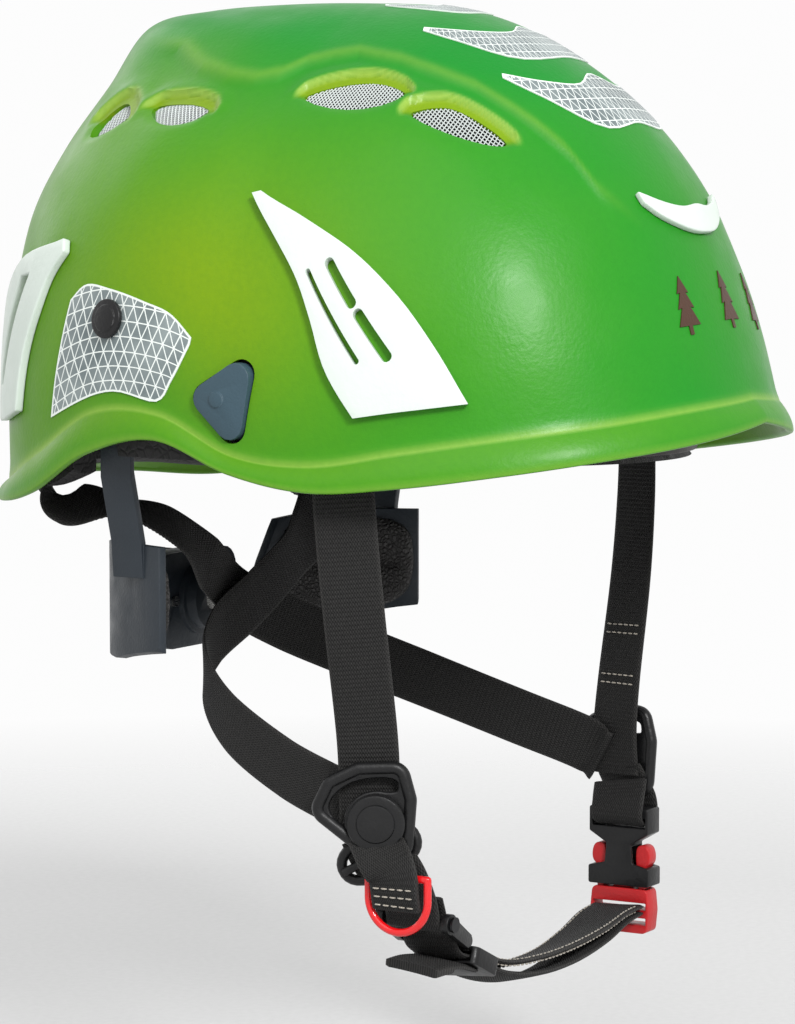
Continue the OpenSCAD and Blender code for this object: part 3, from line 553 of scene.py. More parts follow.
def cut(obj, cutters):
    """Cuts the cutters, joined into one mesh, out of obj."""
    bm = bmesh.new()
    for verts, faces in cutters:
        vs = [bm.verts.new(v) for v in np.asarray(verts, float) * MM]
        for f in faces:
            bm.faces.new([vs[i] for i in f])
    bmesh.ops.recalc_face_normals(bm, faces=bm.faces)
    mesh = bpy.data.meshes.new("cutter")
    bm.to_mesh(mesh)
    bm.free()
    tool = bpy.data.objects.new("cutter", mesh)
    bpy.context.scene.collection.objects.link(tool)
    m = obj.modifiers.new("cut", "BOOLEAN")
    m.operation, m.solver, m.object = "DIFFERENCE", "EXACT", tool
    apply_modifiers(obj)
    bpy.data.objects.remove(tool)


def prism(low, high):
    """Closed prism between two loops of the same number of points."""
    n = len(low)
    verts = np.concatenate([low, high])
    faces = [[i, (i + 1) % n, n + (i + 1) % n, n + i] for i in range(n)]
    return verts, faces + [list(range(n))[::-1], list(range(n, 2 * n))]


def chaikin(points, times=3, closed=True):
    """Outline with its corners cut again and again, so that it runs smooth."""
    p = np.asarray(points, float)
    for _ in range(times):
        q = np.roll(p, -1, 0) if closed else p[1:]
        p0 = p if closed else p[:-1]
        mid = np.stack([0.75 * p0 + 0.25 * q, 0.25 * p0 + 0.75 * q], 1).reshape(-1, p.shape[1])
        p = mid if closed else np.concatenate([p[:1], mid, p[-1:]])
    return p


A_MM, S_MM = 1.7, 195.0
FLAT = np.array([A_MM, S_MM])


def outline_distance(a, s, outline):
    """Signed distance in millimetres from (a, s) to an outline of [bearing, s], inside below 0."""
    p = np.stack(np.broadcast_arrays(a, s), -1) * FLAT
    q = np.asarray(outline, float) * FLAT
    r = np.roll(q, -1, 0)
    best = np.full(p.shape[:-1], 1e9)
    inside = np.zeros(p.shape[:-1], bool)
    for b, c in zip(q, r):
        d = c - b
        t = np.clip(((p - b) @ d) / max(d @ d, 1e-9), 0, 1)
        best = np.minimum(best, np.linalg.norm(p - (b + t[..., None] * d), axis=-1))
        crosses = (b[1] > p[..., 1]) != (c[1] > p[..., 1])
        if abs(d[1]) > 1e-9:
            x = b[0] + (p[..., 1] - b[1]) / d[1] * d[0]
            inside ^= crosses & (p[..., 0] < x)
    return np.where(inside, -best, best)


def sharp_arc(distance, width):
    """Quarter-round rise from 0 at an edge to 1 at width inside it."""
    t = 1 - np.clip(distance / width, 0, 1)
    return np.sqrt(np.clip(1 - t * t, 0, 1))


def flat_distance(points, outline):
    return outline_distance(points[:, 0] / FLAT[0], points[:, 1] / FLAT[1], np.asarray(outline) / FLAT)


def patch_piece(name, place, outline, holes, lo, hi, slot, body="root", replaces=(), spacing=3.0,
                round_edge=0.0, mirror=False, puff=None, seams=()):
    """A slab over a flat outline in millimetres, with holes, laid in space by place(points, off).

    puff is (height, width): the low side swells by height from the edge to width inside it.
    seams are lines [point, point] where that swelling is drawn in by stitching.
    """
    loops = [np.asarray(o, float) for o in [outline, *holes]]
    points, edges = [], []
    for loop in loops:
        ring = []
        for b, c in zip(loop, np.roll(loop, -1, 0)):
            k = max(1, int(np.linalg.norm(c - b) / spacing))
            ring += [b + (c - b) * i / k for i in range(k)]
        base = len(points)
        points += ring
        edges += [(base + i, base + (i + 1) % len(ring)) for i in range(len(ring))]
    lo_c, hi_c = np.min(loops[0], 0), np.max(loops[0], 0)
    gx = np.arange(lo_c[0], hi_c[0], spacing)
    gy = np.arange(lo_c[1], hi_c[1], spacing * 0.866)
    inner = np.array([(x + (j % 2) * spacing / 2, y) for j, y in enumerate(gy) for x in gx])
    keep = flat_distance(inner, loops[0]) < -0.45 * spacing
    for h in loops[1:]:
        keep &= flat_distance(inner, h) > 0.45 * spacing
    points += list(inner[keep])
    out = delaunay_2d_cdt([Vector(q) for q in points], edges, [], 0, 1e-5)
    flat = np.array([list(v) for v in out[0]])
    tris = np.array([list(f) for f in out[2]])
    centre = flat[tris].mean(1)
    inside = flat_distance(centre, loops[0]) < 0
    for h in loops[1:]:
        inside &= flat_distance(centre, h) > 0
    tris = [list(t) for t in tris[inside]]
    margin = -flat_distance(flat, loops[0])
    n = len(flat)
    low = np.full(n, float(lo))
    if puff:
        swell = sharp_arc(margin, puff[1])
        for b, c in seams:
            b, c = np.array(b, float), np.array(c, float)
            t = np.clip(((flat - b) @ (c - b)) / ((c - b) @ (c - b)), 0, 1)
            gap = np.linalg.norm(flat - (b + t[:, None] * (c - b)), axis=1)
            swell = swell * (1 - 0.75 * np.exp(-((gap / 1.6) ** 2)))
        low = low - puff[0] * swell
    top, bottom = place(flat, np.full(n, float(hi))), place(flat, low)
    count = {(t[i], t[(i + 1) % 3]) for t in tris for i in range(3)}
    open_edges = [e for e in sorted(count) if (e[1], e[0]) not in count]
    faces = tris + [[i + n for i in t[::-1]] for t in tris]
    faces += [[e[1], e[0], e[0] + n, e[1] + n] for e in open_edges]
    verts = np.concatenate([top, bottom])
    if mirror:
        verts = verts * [-1, 1, 1]
        faces = [f[::-1] for f in faces]
    obj = piece(name, verts, faces, slot, body, replaces=replaces, uv=np.concatenate([flat, flat]))
    store(obj, "margin", np.concatenate([margin, margin]))
    with editing(obj.data) as bm:
        bmesh.ops.delete(bm, geom=[v for v in bm.verts if not v.link_faces], context="VERTS")
    tidy_normals(obj)
    if round_edge:
        bevel(obj, round_edge)
    elif puff:
        shade(obj, 70)
    return obj


def film(name, outline, holes, lo, hi, slot, replaces, **kw):
    """A patch that lies on the dome under an outline of [bearing, s], with holes, from lo to hi."""

    def place(flat, off):
        a, s = (flat / FLAT).T
        return skin(a, s, off)

    loops = [np.asarray(o, float) * FLAT for o in [outline, *holes]]
    return patch_piece(name, place, loops[0], loops[1:], lo, hi, slot, replaces=replaces, **kw)


def both(make, name):
    make(name + "_right", mirror=False)
    make(name + "_left", mirror=True)


def side_of(mirror):
    return "left" if mirror else "right"


# ---- shell

VENTS = [
    [[-59, 0.52], [-52, 0.535], [-45, 0.53], [-36, 0.455], [-38, 0.435], [-48, 0.465]],
    [[-92, 0.56], [-82, 0.595], [-66, 0.605], [-55, 0.56], [-71, 0.525]],
    [[-135, 0.535], [-114, 0.52], [-115, 0.485], [-122, 0.47], [-130, 0.495]],
    [[-146, 0.545], [-139, 0.51], [-139, 0.48], [-147, 0.46], [-150, 0.50]],
]
VENT_LINES = [chaikin(v, 2) for v in VENTS]
LIP = 4.2
RIDGE = np.array(
    [
        (16, 0.29), (22, 0.35), (25, 0.42), (29, 0.47), (33, 0.51), (39, 0.56), (48, 0.60),
        (59, 0.64), (75, 0.67), (85, 0.66), (94, 0.64), (100, 0.60), (107, 0.58), (116, 0.58),
        (128, 0.60), (142, 0.64),
    ]
)


def relief(a, s):
    """Height in millimetres that the shell stands off the dome, its mask of painted highlights on crests,
    vent lips and the crease, and its mask of painted lime glow on the vent lips.
    """
    b = around(a)
    ridge_s = np.interp(b, RIDGE[:, 0], RIDGE[:, 1])
    on = smooth(b, 14, 30) * (1 - smooth(b, 136, 160))
    d = (s - ridge_s) * S_MM
    h = -1.7 * on * smooth(-d, -2, 5) * (1 - smooth(-d, 6, 34))
    # Painted highlight along the crest of the crown ridge.
    edge = 0.22 * on * np.exp(-(((d - 1) / 2.4) ** 2))
    lime_glow = np.zeros_like(h)
    for line in VENT_LINES:
        left, right = line[np.argmin(line[:, 0])], line[np.argmax(line[:, 0])]
        middle = np.interp(-b, [left[0], right[0]], [left[1], right[1]])
        dist = outline_distance(-b, s, line)
        upper = smooth((s - middle) * S_MM, -2.5, 2.5) * (dist < 30)
        h = h - 1.9 * upper * (1 - smooth(dist, LIP - 1.4, LIP + 0.9))
        h = h + 0.5 * upper * np.exp(-(((dist - LIP - 1.6) / 3.0) ** 2))
        h = h - 0.9 * (1 - upper) * (1 - smooth(dist, -1, 2.5)) * (dist < 30)
        # Painted highlight along each vent's upper lip.
        edge = np.maximum(edge, 0.85 * upper * np.exp(-(((dist - LIP) / 1.0) ** 2)))
        # Painted lime glow on each vent's upper lip, standing for light through the thin plastic there.
        lime_glow = np.maximum(lime_glow, upper * (1 - smooth(dist, LIP - 0.8, LIP + 0.2)))
    h = h + 0.45 * np.exp(-((s * S_MM / 2.2) ** 2))
    # Painted highlight along the crease above the rim flange.
    edge = np.maximum(edge, 0.5 * np.exp(-(((s * S_MM) / 1.5) ** 2)))
    return h, edge, lime_glow


def rounded(points, r, steps=8):
    """Flat outline with every corner rounded by the same radius."""
    pts, out = np.asarray(points, float), []
    n = len(pts)
    for i in range(n):
        p, prev, nxt = pts[i], pts[i - 1], pts[(i + 1) % n]
        u = (prev - p) / np.linalg.norm(prev - p)
        v = (nxt - p) / np.linalg.norm(nxt - p)
        half = math.acos(np.clip(u @ v, -1, 1)) / 2
        mid = p + (u + v) / np.linalg.norm(u + v) * r / math.sin(half)
        t0, t1 = p + u * r / math.tan(half) - mid, p + v * r / math.tan(half) - mid
        s0, s1 = math.atan2(t0[1], t0[0]), math.atan2(t1[1], t1[0])
        d = (s1 - s0 + math.pi) % (2 * math.pi) - math.pi
        for k in range(steps + 1):
            w = s0 + d * k / steps
            out.append(mid + r * np.array([math.cos(w), math.sin(w)]))
    return np.array(out)


def plug_outline(grow):
    """The visor socket's rounded triangle in (y, z), scaled up by grow millimetres."""
    pts = np.array([(17, 29), (-9, 45), (-3, 10)], float)
    away = pts - pts.mean(0)
    return rounded(pts + away / np.linalg.norm(away, axis=1, keepdims=True) * grow * 2, 5)


PLUG_X = -107.5


def side_prism(outline, x0, x1, sign=1):
    low = np.array([(sign * x0, y, z) for y, z in outline])
    high = np.array([(sign * x1, y, z) for y, z in outline])
    return prism(low, high)


def vent_prisms(lo, hi, grow=1.0):
    found = []
    for line in VENT_LINES:
        c = line.mean(0)
        q = c + (line - c) * grow
        low, high = (skin(q[:, 0], q[:, 1], np.full(len(q), float(o))) for o in (lo, hi))
        for sign in (1, -1):
            found.append(prism(low * [sign, 1, 1], high * [sign, 1, 1]))
    return found


def lime_glow_mask(a, s):
    """Where a lime glow is painted on the shell, standing for light through the thin plastic: mostly on
    its sides, above the visor socket.
    """
    b = around(a)
    side = np.exp(-(((b - 98) / 28) ** 2) - ((s - 0.23) / 0.17) ** 2)
    rear = smooth(b, 105, 140) * (1 - smooth(s, 0.5, 0.75))
    return np.clip(0.85 * side + 0.3 * rear + 0.06, 0, 1)


def crown_mask(a, s):
    """Where the shell turns emerald: over the crown and towards the brow."""
    return np.clip(smooth(s, 0.42, 0.74) + 0.7 * (1 - smooth(around(a), 0, 80)), 0, 1)


def shell():
    cols, rows = 600, 180
    a = np.arange(cols) * 360 / cols
    rings, edge, lime_glow, crown = [], [], [], []

    def ring(points, e=0.0, g=0.0, c=0.0):
        rings.append(points)
        for store, value in ((edge, e), (lime_glow, g), (crown, c)):
            store.append(np.broadcast_to(np.asarray(value, float), (cols,)))

    # The inner face and the rim rings take a little painted lime glow, and the flange below the crease
    # takes the painted glow of the sides.
    low_crown, low_lime_glow = crown_mask(a, np.zeros(cols)), lime_glow_mask(a, np.zeros(cols))
    for s in np.linspace(0.985, 0, 40):
        h, _, _ = relief(a, np.full(cols, s))
        ring(skin(a, np.full(cols, s), -SHELL_T + 0.5 * np.minimum(h, 0)), 0, 0.3, 0.2)
    outer_rim, inner_rim = rim(a, 0, 0), rim(a, SHELL_T, 0.6)
    for t in (0.33, 0.66, 1.0):
        start = skin(a, np.zeros(cols), np.full(cols, -SHELL_T))
        ring(start * (1 - t) + inner_rim * t, 0, 0.4)
    mid, half = (outer_rim + inner_rim) / 2, (outer_rim - inner_rim) / 2
    # The rolled rim and the flange below the crease carry a painted pale highlight through e.
    for k in range(1, 6):
        t = math.pi * k / 6
        ring(mid - half * math.cos(t) - [0, 0, 1.1 * math.sin(t)], 0.15, 0.2, low_crown)
    ring(outer_rim, 0.25, 0.2, low_crown)
    h0, _, _ = relief(a, np.zeros(cols))
    top = skin(a, np.zeros(cols), h0)
    for t in np.linspace(0.12, 0.9, 8):
        k = t ** 1.7
        p = outer_rim * (1 - k) + top * k
        p[:, 2] = (outer_rim * (1 - t) + top * t)[:, 2]
        ring(p, 0.25 * (1 - smooth(t, 0, 0.2)), 0.2 + 0.8 * low_lime_glow * smooth(t, 0, 1), low_crown)
    for s in np.linspace(0, 0.99, rows):
        row = np.full(cols, s)
        h, e, g = relief(a, row)
        ring(skin(a, row, h), e, np.maximum(g, lime_glow_mask(a, row)), crown_mask(a, row))
    verts = np.concatenate(rings + [skin(0.0, 1.0, -SHELL_T)[None], skin(0.0, 1.0, 0.0)[None]])
    obj = piece("outer_shell_looks", verts, stacked_rings(len(rings), cols), "shell_green",
                replaces=["outer_shell"], angle=180)
    # Masks for the shell's material: edge is painted highlight, lime is painted glow of light through the
    # shell, crown is where it turns emerald.
    masks = {
        "edge": np.concatenate([*edge, [0, 0]]),
        "lime_glow": np.concatenate([*lime_glow, [0, 0]]),
        "crown": np.concatenate([*crown, [0, 1]]),
    }
    tree = KDTree(len(verts))
    for i, v in enumerate(verts * MM):
        tree.insert(v, i)
    tree.balance()
    tidy_normals(obj)
    cutters = vent_prisms(-9, 6)
    for sign in (1, -1):
        cutters.append(side_prism(plug_outline(0.6), PLUG_X - 10, PLUG_X + 20, sign))
    cut(obj, cutters)
    near = [tree.find(v.co)[1] for v in obj.data.vertices]
    for key, values in masks.items():
        store(obj, key, values[near])
    shade(obj, 32)


shell()


# ---- clips, films and emblem


def strip_outline(edge_a, edge_b, n=24):
    """Closed outline between two edges given as lists of [bearing, s]."""
    u = np.linspace(0, 1, n)
    return np.concatenate([spline(edge_a, u), spline(edge_b, u[::-1])])


def slot_outline(start, end, half, ends=6):
    """A long slot with round ends, in [bearing, s]."""
    p, q = np.array(start) * FLAT, np.array(end) * FLAT
    d = (q - p) / np.linalg.norm(q - p)
    n = np.array([-d[1], d[0]])
    loop = []
    for c, sign in ((q, 1), (p, -1)):
        for k in range(ends + 1):
            t = math.pi * k / ends
            loop.append(c + half * sign * (n * math.cos(t) + d * math.sin(t)))
    return np.array(loop) / FLAT


def front_clip(name, mirror):
    outline = strip_outline(
        [[-89, 0.385], [-78, 0.35], [-68, 0.30], [-60, 0.23], [-54, 0.15], [-49, 0.06]],
        [[-91, 0.38], [-84, 0.325], [-78.5, 0.27], [-75, 0.21], [-72, 0.14], [-67, 0.065]],
    )
    holes = [
        slot_outline([-72, 0.285], [-67.6, 0.226], 1.5),
        slot_outline([-66.4, 0.21], [-61.5, 0.145], 1.5),
        slot_outline([-76, 0.275], [-66.5, 0.145], 0.8),
    ]
    film(name, outline, holes, 0.1, 3.1, "clip_white", [f"front_lamp_clip_{side_of(mirror)}"],
         spacing=2.6, round_edge=0.7, mirror=mirror)


def rear_clip(name, mirror):
    outline = strip_outline(
        [[-132, 0.29], [-146, 0.275], [-155, 0.22], [-158, 0.15], [-157, 0.07]],
        [[-131, 0.27], [-134, 0.24], [-136, 0.20], [-139, 0.14], [-141, 0.07]],
    )
    holes = [[[-141, 0.25], [-144.5, 0.25], [-150.5, 0.115], [-148.6, 0.112]]]
    film(name, outline, holes, 0.1, 3.1, "clip_white", [f"rear_lamp_clip_{side_of(mirror)}"],
         spacing=2.6, round_edge=0.7, mirror=mirror)


both(front_clip, "front_clip_looks")
both(rear_clip, "rear_clip_looks")

film(
    "goggle_clip_looks",
    strip_outline(
        [[-15, 0.337], [-10, 0.318], [-5, 0.308], [0, 0.31], [4, 0.308], [8, 0.316], [11, 0.33]],
        [[-14.5, 0.318], [-11, 0.293], [-5, 0.27], [0, 0.264], [4, 0.27], [8, 0.29], [10.5, 0.314]],
    ),
    [], 0.1, 2.6, "clip_white", ["front_goggle_clip"], spacing=2.2, round_edge=0.6,
)


def side_film(name, mirror):
    outline = strip_outline(
        [[-99, 0.152], [-104, 0.174], [-110, 0.183], [-118, 0.198], [-124, 0.21], [-127.5, 0.195]],
        [[-99.2, 0.14], [-102.5, 0.07], [-106, 0.022], [-115, 0.03], [-123, 0.028], [-131, 0.035]],
    )
    film(name, outline, [], 0.05, 0.45, "reflector_silver", [f"side_reflector_{side_of(mirror)}"],
         spacing=2.5, mirror=mirror)


both(side_film, "side_film_looks")

CRESCENTS = [
    (
        [[-31, 0.585], [-21, 0.563], [-10, 0.553], [0, 0.58], [10, 0.553], [21, 0.563], [31, 0.585]],
        [[-31.5, 0.575], [-24, 0.525], [-13, 0.455], [0, 0.462], [13, 0.455], [24, 0.525], [31.5, 0.575]],
    ),
    (
        [[-48, 0.735], [-27, 0.713], [-12, 0.71], [0, 0.735], [12, 0.71], [27, 0.713], [48, 0.735]],
        [[-49, 0.722], [-38, 0.68], [-22, 0.622], [0, 0.625], [22, 0.622], [38, 0.68], [49, 0.722]],
    ),
    (
        [[-76, 0.9], [-48, 0.888], [-22, 0.88], [0, 0.905], [22, 0.88], [48, 0.888], [76, 0.9]],
        [[-74, 0.885], [-46, 0.85], [-20, 0.81], [0, 0.812], [20, 0.81], [46, 0.85], [74, 0.885]],
    ),
]
for i, (upper, lower) in enumerate(CRESCENTS):
    film(f"crown_film_looks_{i}", strip_outline(upper, lower), [], 0.05, 0.45, "reflector_silver",
         ["crown_reflectors"], spacing=2.5)


def conifer(name, at):
    """A plain tiered conifer cut from film, in place of lettering."""
    half = [(0, 10.5), (2.3, 6.2), (1.1, 6.4), (3.2, 2.4), (1.7, 2.7), (4.2, -1.8), (0.7, -1.8),
            (0.7, -4)]
    shape = np.array(half + [(-x, y) for x, y in half[:0:-1]]) * 1.25
    outline = np.array(at) + shape / [2.25, S_MM]
    film(name, outline, [], 0.05, 0.45, "emblem_brown", ["front_emblem"], spacing=1.6)


for i, bearing in enumerate((-11.5, 0.0, 11.5)):
    conifer(f"emblem_looks_{i}", (bearing, 0.137))


# ---- vent meshes


def vent_mesh(name, mirror):
    """Woven mesh of fine diamonds under each opening of one side."""
    pitch, depth, wire = 1.9, -3.7, 0.42
    verts, faces, index = [], [], {}
    for k, line in enumerate(VENT_LINES):
        flat = line * FLAT
        lo, hi = flat.min(0) - 3, flat.max(0) + 3
        for j in range(int((hi[1] - lo[1]) / pitch * 2)):
            for i in range(int((hi[0] - lo[0]) / pitch)):
                c = lo + [(i + (j % 2) / 2) * pitch, j * pitch / 2]
                if flat_distance(c[None], flat)[0] > 2:
                    continue
                face = []
                for dx, dy in ((-1, 0), (0, -1), (1, 0), (0, 1)):
                    key = (k, 2 * i + j % 2 + dx, j + dy)
                    if key not in index:
                        index[key] = len(verts)
                        verts.append(c + np.array([dx, dy]) * pitch / 2)
                    face.append(index[key])
                faces.append(face)
    a, s = (np.array(verts) / FLAT).T
    placed = skin(a, s, np.full(len(a), depth)) * [-1 if mirror else 1, 1, 1]
    obj = piece(name, placed, faces, "mesh_white", replaces=[f"vent_mesh_{side_of(mirror)}"])
    m = obj.modifiers.new("wire", "WIREFRAME")
    m.thickness = wire * MM
    apply_modifiers(obj)
    shade(obj, 60)


both(vent_mesh, "vent_weave")


# ---- liner and pads


def box_prism(centre, size, turn=0.0):
    """Upright box turned about Z."""
    x, y, z = np.array(size) / 2
    c, t = math.cos(math.radians(turn)), math.sin(math.radians(turn))
    corners = ((-x, -y), (x, -y), (x, y), (-x, y))
    low = np.array([(c * u - t * v, t * u + c * v, -z) for u, v in corners]) + centre
    return prism(low, low + [0, 0, 2 * z])


ANCHORS = [((-93, -33, 15), -64), ((90, -47, 15), 62), ((-66.5, 101, 12), -127),
           ((66.5, 101, 12), 127)]


def liner():
    cols = 240
    a = np.arange(cols) * 360 / cols
    b = around(a)
    drop = np.where(b > 60, np.minimum(3, 7.5 - spline(RIM_Z, b / 180)), 3)
    rings = [skin(a, np.full(cols, s), LINER_OUT - LINER_T) for s in np.linspace(0.985, 0.06, 34)]
    inner, outer = rim(a, LINER_T + 8, drop + 3), rim(a, 10, drop)
    rings.append(inner)
    for t in (0.1, 0.3, 0.5, 0.7, 0.9):
        p = inner * (1 - t) + outer * t
        rings.append(p - [0, 0, 0.9 * math.sin(math.pi * t)])
    rings.append(outer)
    rings += [skin(a, np.full(cols, s), LINER_OUT) for s in np.linspace(0.06, 0.985, 34)]
    tips = [skin(0.0, 1.0, LINER_OUT - LINER_T)[None], skin(0.0, 1.0, LINER_OUT)[None]]
    faces = stacked_rings(len(rings), cols)
    obj = piece("foam_liner_looks", np.concatenate(rings + tips), faces, "liner_black",
                replaces=["foam_liner"], angle=180)
    tidy_normals(obj)
    cutters = vent_prisms(-30, -1, 1.02)
    for sign in (1, -1):
        cutters.append(side_prism(plug_outline(0.8), PLUG_X - 10, PLUG_X + 8, sign))
        cutters.append(box_prism((-80.75 * sign, 58, 6), (29.5, 32, 52)))
        cutters.append(box_prism((-82.5 * sign, 58, 23), (33, 32, 18)))
    for at, turn in ANCHORS:
        cutters.append(box_prism(np.array(at) - [0, 0, 9], (32, 9, 36), turn))
    for cutter in cutters:  # one at a time, because some of them overlap
        cut(obj, [cutter])
    shade(obj, 40)


liner()


def backing(name, mirror):
    """Dark lining of the shell over the liner's hanger pockets."""
    outline = strip_outline(
        [[-101, 0.03], [-103, 0.2], [-106, 0.34], [-112, 0.36]],
        [[-152, 0.03], [-151, 0.2], [-149, 0.34], [-112, 0.36]],
    )
    film(name, outline, [], -4.2, -3.15, "liner_black", [], spacing=5, mirror=mirror)


both(backing, "hanger_backing")


def rounded_box(x0, x1, y0, y1, r, n=5):
    """Flat rectangle with round corners."""
    out = []
    corners = ((x1 - r, y1 - r), (x0 + r, y1 - r), (x0 + r, y0 + r), (x1 - r, y0 + r))
    for start, (cx, cy) in zip((0, 90, 180, 270), corners):
        for k in range(n + 1):
            t = math.radians(start + 90 * k / n)
            out.append((cx + r * math.cos(t), cy + r * math.sin(t)))
    return np.array(out)


def brow_place(flat, off):
    t = np.radians(flat[:, 0] / A_MM)
    return np.stack([(82.7 + off) * np.sin(t), -(104.7 + off) * np.cos(t), flat[:, 1]], -1)


brow = patch_piece(
    "brow_cushion", brow_place, rounded_box(-122, 122, 6, 36, 9), [], 0, -2.0, "pad_fabric",
    replaces=["brow_pad"], spacing=2.6, puff=(3.0, 7), mirror=False,
    seams=[((x, 8), (x, 34)) for x in (-92, -61, -31, 0, 31, 61, 92)],
)

CROWN_PAD = LINER_OUT - LINER_T - 0.8
for i, turn in enumerate((0, 90, 180, 270)):
    pad = film(
        f"crown_cushion_{i}",
        strip_outline([[turn - 14, 0.5], [turn - 16, 0.64], [turn - 20, 0.78]],
                      [[turn + 14, 0.5], [turn + 16, 0.64], [turn + 20, 0.78]]),
        [], CROWN_PAD - 2, CROWN_PAD, "pad_fabric", ["crown_pad"], spacing=2.2, puff=(3, 7),
    )

WING = [[-32, 88], [-44, 87], [-57, 81], [-68, 73], [-77, 62], [-83, 51], [-87, 41]]
WING_MM = 80.0


def wing_place(flat, off):
    """Points beside the nape arm: x runs along it, y is up, off is away from the neck."""
    u = np.clip(flat[:, 0] / WING_MM, 0, 1)
    t = unit(spline(WING, np.minimum(u + 0.01, 1)) - spline(WING, np.maximum(u - 0.01, 0)))
    p = spline(WING, u) - np.stack([-t[:, 1], t[:, 0]], -1) * off[:, None]
    return np.concatenate([p, flat[:, 1:2]], 1)


for side in ("right", "left"):
    pad = patch_piece(
        f"nape_cushion_{side}", wing_place,
        chaikin([(21, -57), (21, -31), (44, -25.5), (76, -27), (79, -44), (74, -57), (45, -61.5)], 3), [],
        -5.2, -3.3, "pad_leather", body=f"arm_{side}", replaces=[f"nape_pad_{side}"], spacing=2.0,
        puff=(2.0, 6), mirror=side == "left", seams=[((30, -43), (70, -43))],
    )


# ---- webbing

WEB_W, WEB_T, RIB = 20.0, 1.6, 1.5
ACROSS = np.array([-10, -9.7, -9.1, -8.3, -6.4, -4.3, -2.1, 0, 2.1, 4.3, 6.4, 8.3, 9.1, 9.7, 10])


def strap_frame(route, widths, step=0.375):
    """Centre, across, outward and length at even steps along a smooth route."""
    u = np.linspace(0, 1, 3000)
    fine = spline(route, u)
    reach = np.concatenate([[0], np.cumsum(np.linalg.norm(np.diff(fine, axis=0), axis=1))])
    along = np.linspace(0, reach[-1], int(reach[-1] / step) + 1)
    u = np.interp(along, reach, u)
    centre = spline(route, u)
    run = unit(np.gradient(centre, axis=0))
    across = spline(widths, u)
    across = unit(across - run * (across * run).sum(-1, keepdims=True))
    return centre, across, np.cross(run, across), along


def webbing(name, route, widths, replaces=(), body="root", ends=0.0, wide=1.0):
    """A ribbed strap; returns its frame. ends thickens its far tip, as folded and sewn."""
    centre, across, out, along = strap_frame(route, widths)
    v = ACROSS
    half = WEB_T / 2 * (1 - 0.6 * smooth(np.abs(v), 8.9, 10)) - 0.05
    rib = 0.13 * np.cos(2 * np.pi * along[:, None] / RIB) * (1 - smooth(np.abs(v), 9.2, 10))
    rib = rib + 0.05 * np.cos(2 * np.pi * v / 2.1)
    cup = 0.25 * (v / 10) ** 2 + 0 * along[:, None]
    fold = ends * (1 - smooth(along[-1] - along, 9, 12))[:, None]
    mid = centre[:, None] + across[:, None] * wide * v[None, :, None]
    top = mid + out[:, None] * (cup + half + rib + fold)[..., None]
    low = mid + out[:, None] * (cup - half - rib)[..., None]
    n, m = len(along), len(v)
    verts = np.concatenate([top.reshape(-1, 3), low.reshape(-1, 3)])
    k, faces = n * m, []
    for j in range(n - 1):
        for i in range(m - 1):
            q = [j * m + i, j * m + i + 1, (j + 1) * m + i + 1, (j + 1) * m + i]
            faces += [q, [x + k for x in q[::-1]]]
        for i in (0, m - 1):
            faces.append([j * m + i, (j + 1) * m + i, (j + 1) * m + i + k, j * m + i + k])
    for j in (0, n - 1):
        faces += [[j * m + i, j * m + i + 1, j * m + i + 1 + k, j * m + i + k] for i in range(m - 1)]
    uv = np.stack(np.broadcast_arrays(along[:, None], v[None]), -1).reshape(-1, 2)
    obj = piece(name, verts, faces, "webbing_black", body, replaces, 50, np.concatenate([uv, uv]))
    tidy_normals(obj)
    return centre, across, out, along


def sew(name, strap, rows, body="root", lift=0.78):
    """Stitches on a strap: each row is (length from, to, offset from, to), on one face."""
    centre, across, out, along = strap
    verts, faces = [], []
    for l0, l1, v0, v1, side in rows:
        size = math.hypot(l1 - l0, v1 - v0)
        count = max(2, int(size / 2.5))
        for i in range(count):
            ends = []
            for t in ((i + 0.12) / count, (i + 0.88) / count):
                k = int(np.clip(np.searchsorted(along, l0 + (l1 - l0) * t), 0, len(along) - 1))
                v = v0 + (v1 - v0) * t
                ends.append(centre[k] + across[k] * v + out[k] * side * (lift + 0.1))
            d = ends[1] - ends[0]
            run, up = unit(d), unit(out[k])
            wide = np.cross(run, up)
            base = len(verts)
            for t, r in ((0.0, 0.12), (0.2, 0.27), (0.5, 0.3), (0.8, 0.27), (1.0, 0.12)):
                c = ends[0] + d * t + up * side * 0.16 * math.sin(math.pi * t)
                for q in range(6):
                    w = math.pi * q / 3
                    verts.append(c + (wide * math.cos(w) + up * math.sin(w)) * r)
            for g in range(4):
                for q in range(6):
                    n = (q + 1) % 6
                    near, far = base + g * 6, base + (g + 1) * 6
                    faces.append([near + q, near + n, far + n, far + q])
            faces += [[base + q for q in range(5, -1, -1)], [base + 24 + q for q in range(6)]]
    tidy_normals(piece(name, verts, faces, "webbing_black", body, angle=80, look="thread_grey"))


def cheek(at, turn, sign=1):
    """Places points given as (forwards, up, outwards) beside a cheek; sign -1 mirrors them."""
    c, t = math.cos(math.radians(turn)), math.sin(math.radians(turn))

    def place(points):
        x, y, n = np.asarray(points, float).T
        return (np.array(at) + np.stack([c * x + t * n, t * x - c * n, y], -1)) * [sign, 1, 1]

    return place


AT_RIGHT, AT_LEFT = cheek((-81, -36, -107), -64), cheek((-80, -46, -107), -80, -1)


def route_to(route, place, extra):
    return np.concatenate([np.array(route, float), place(extra)])


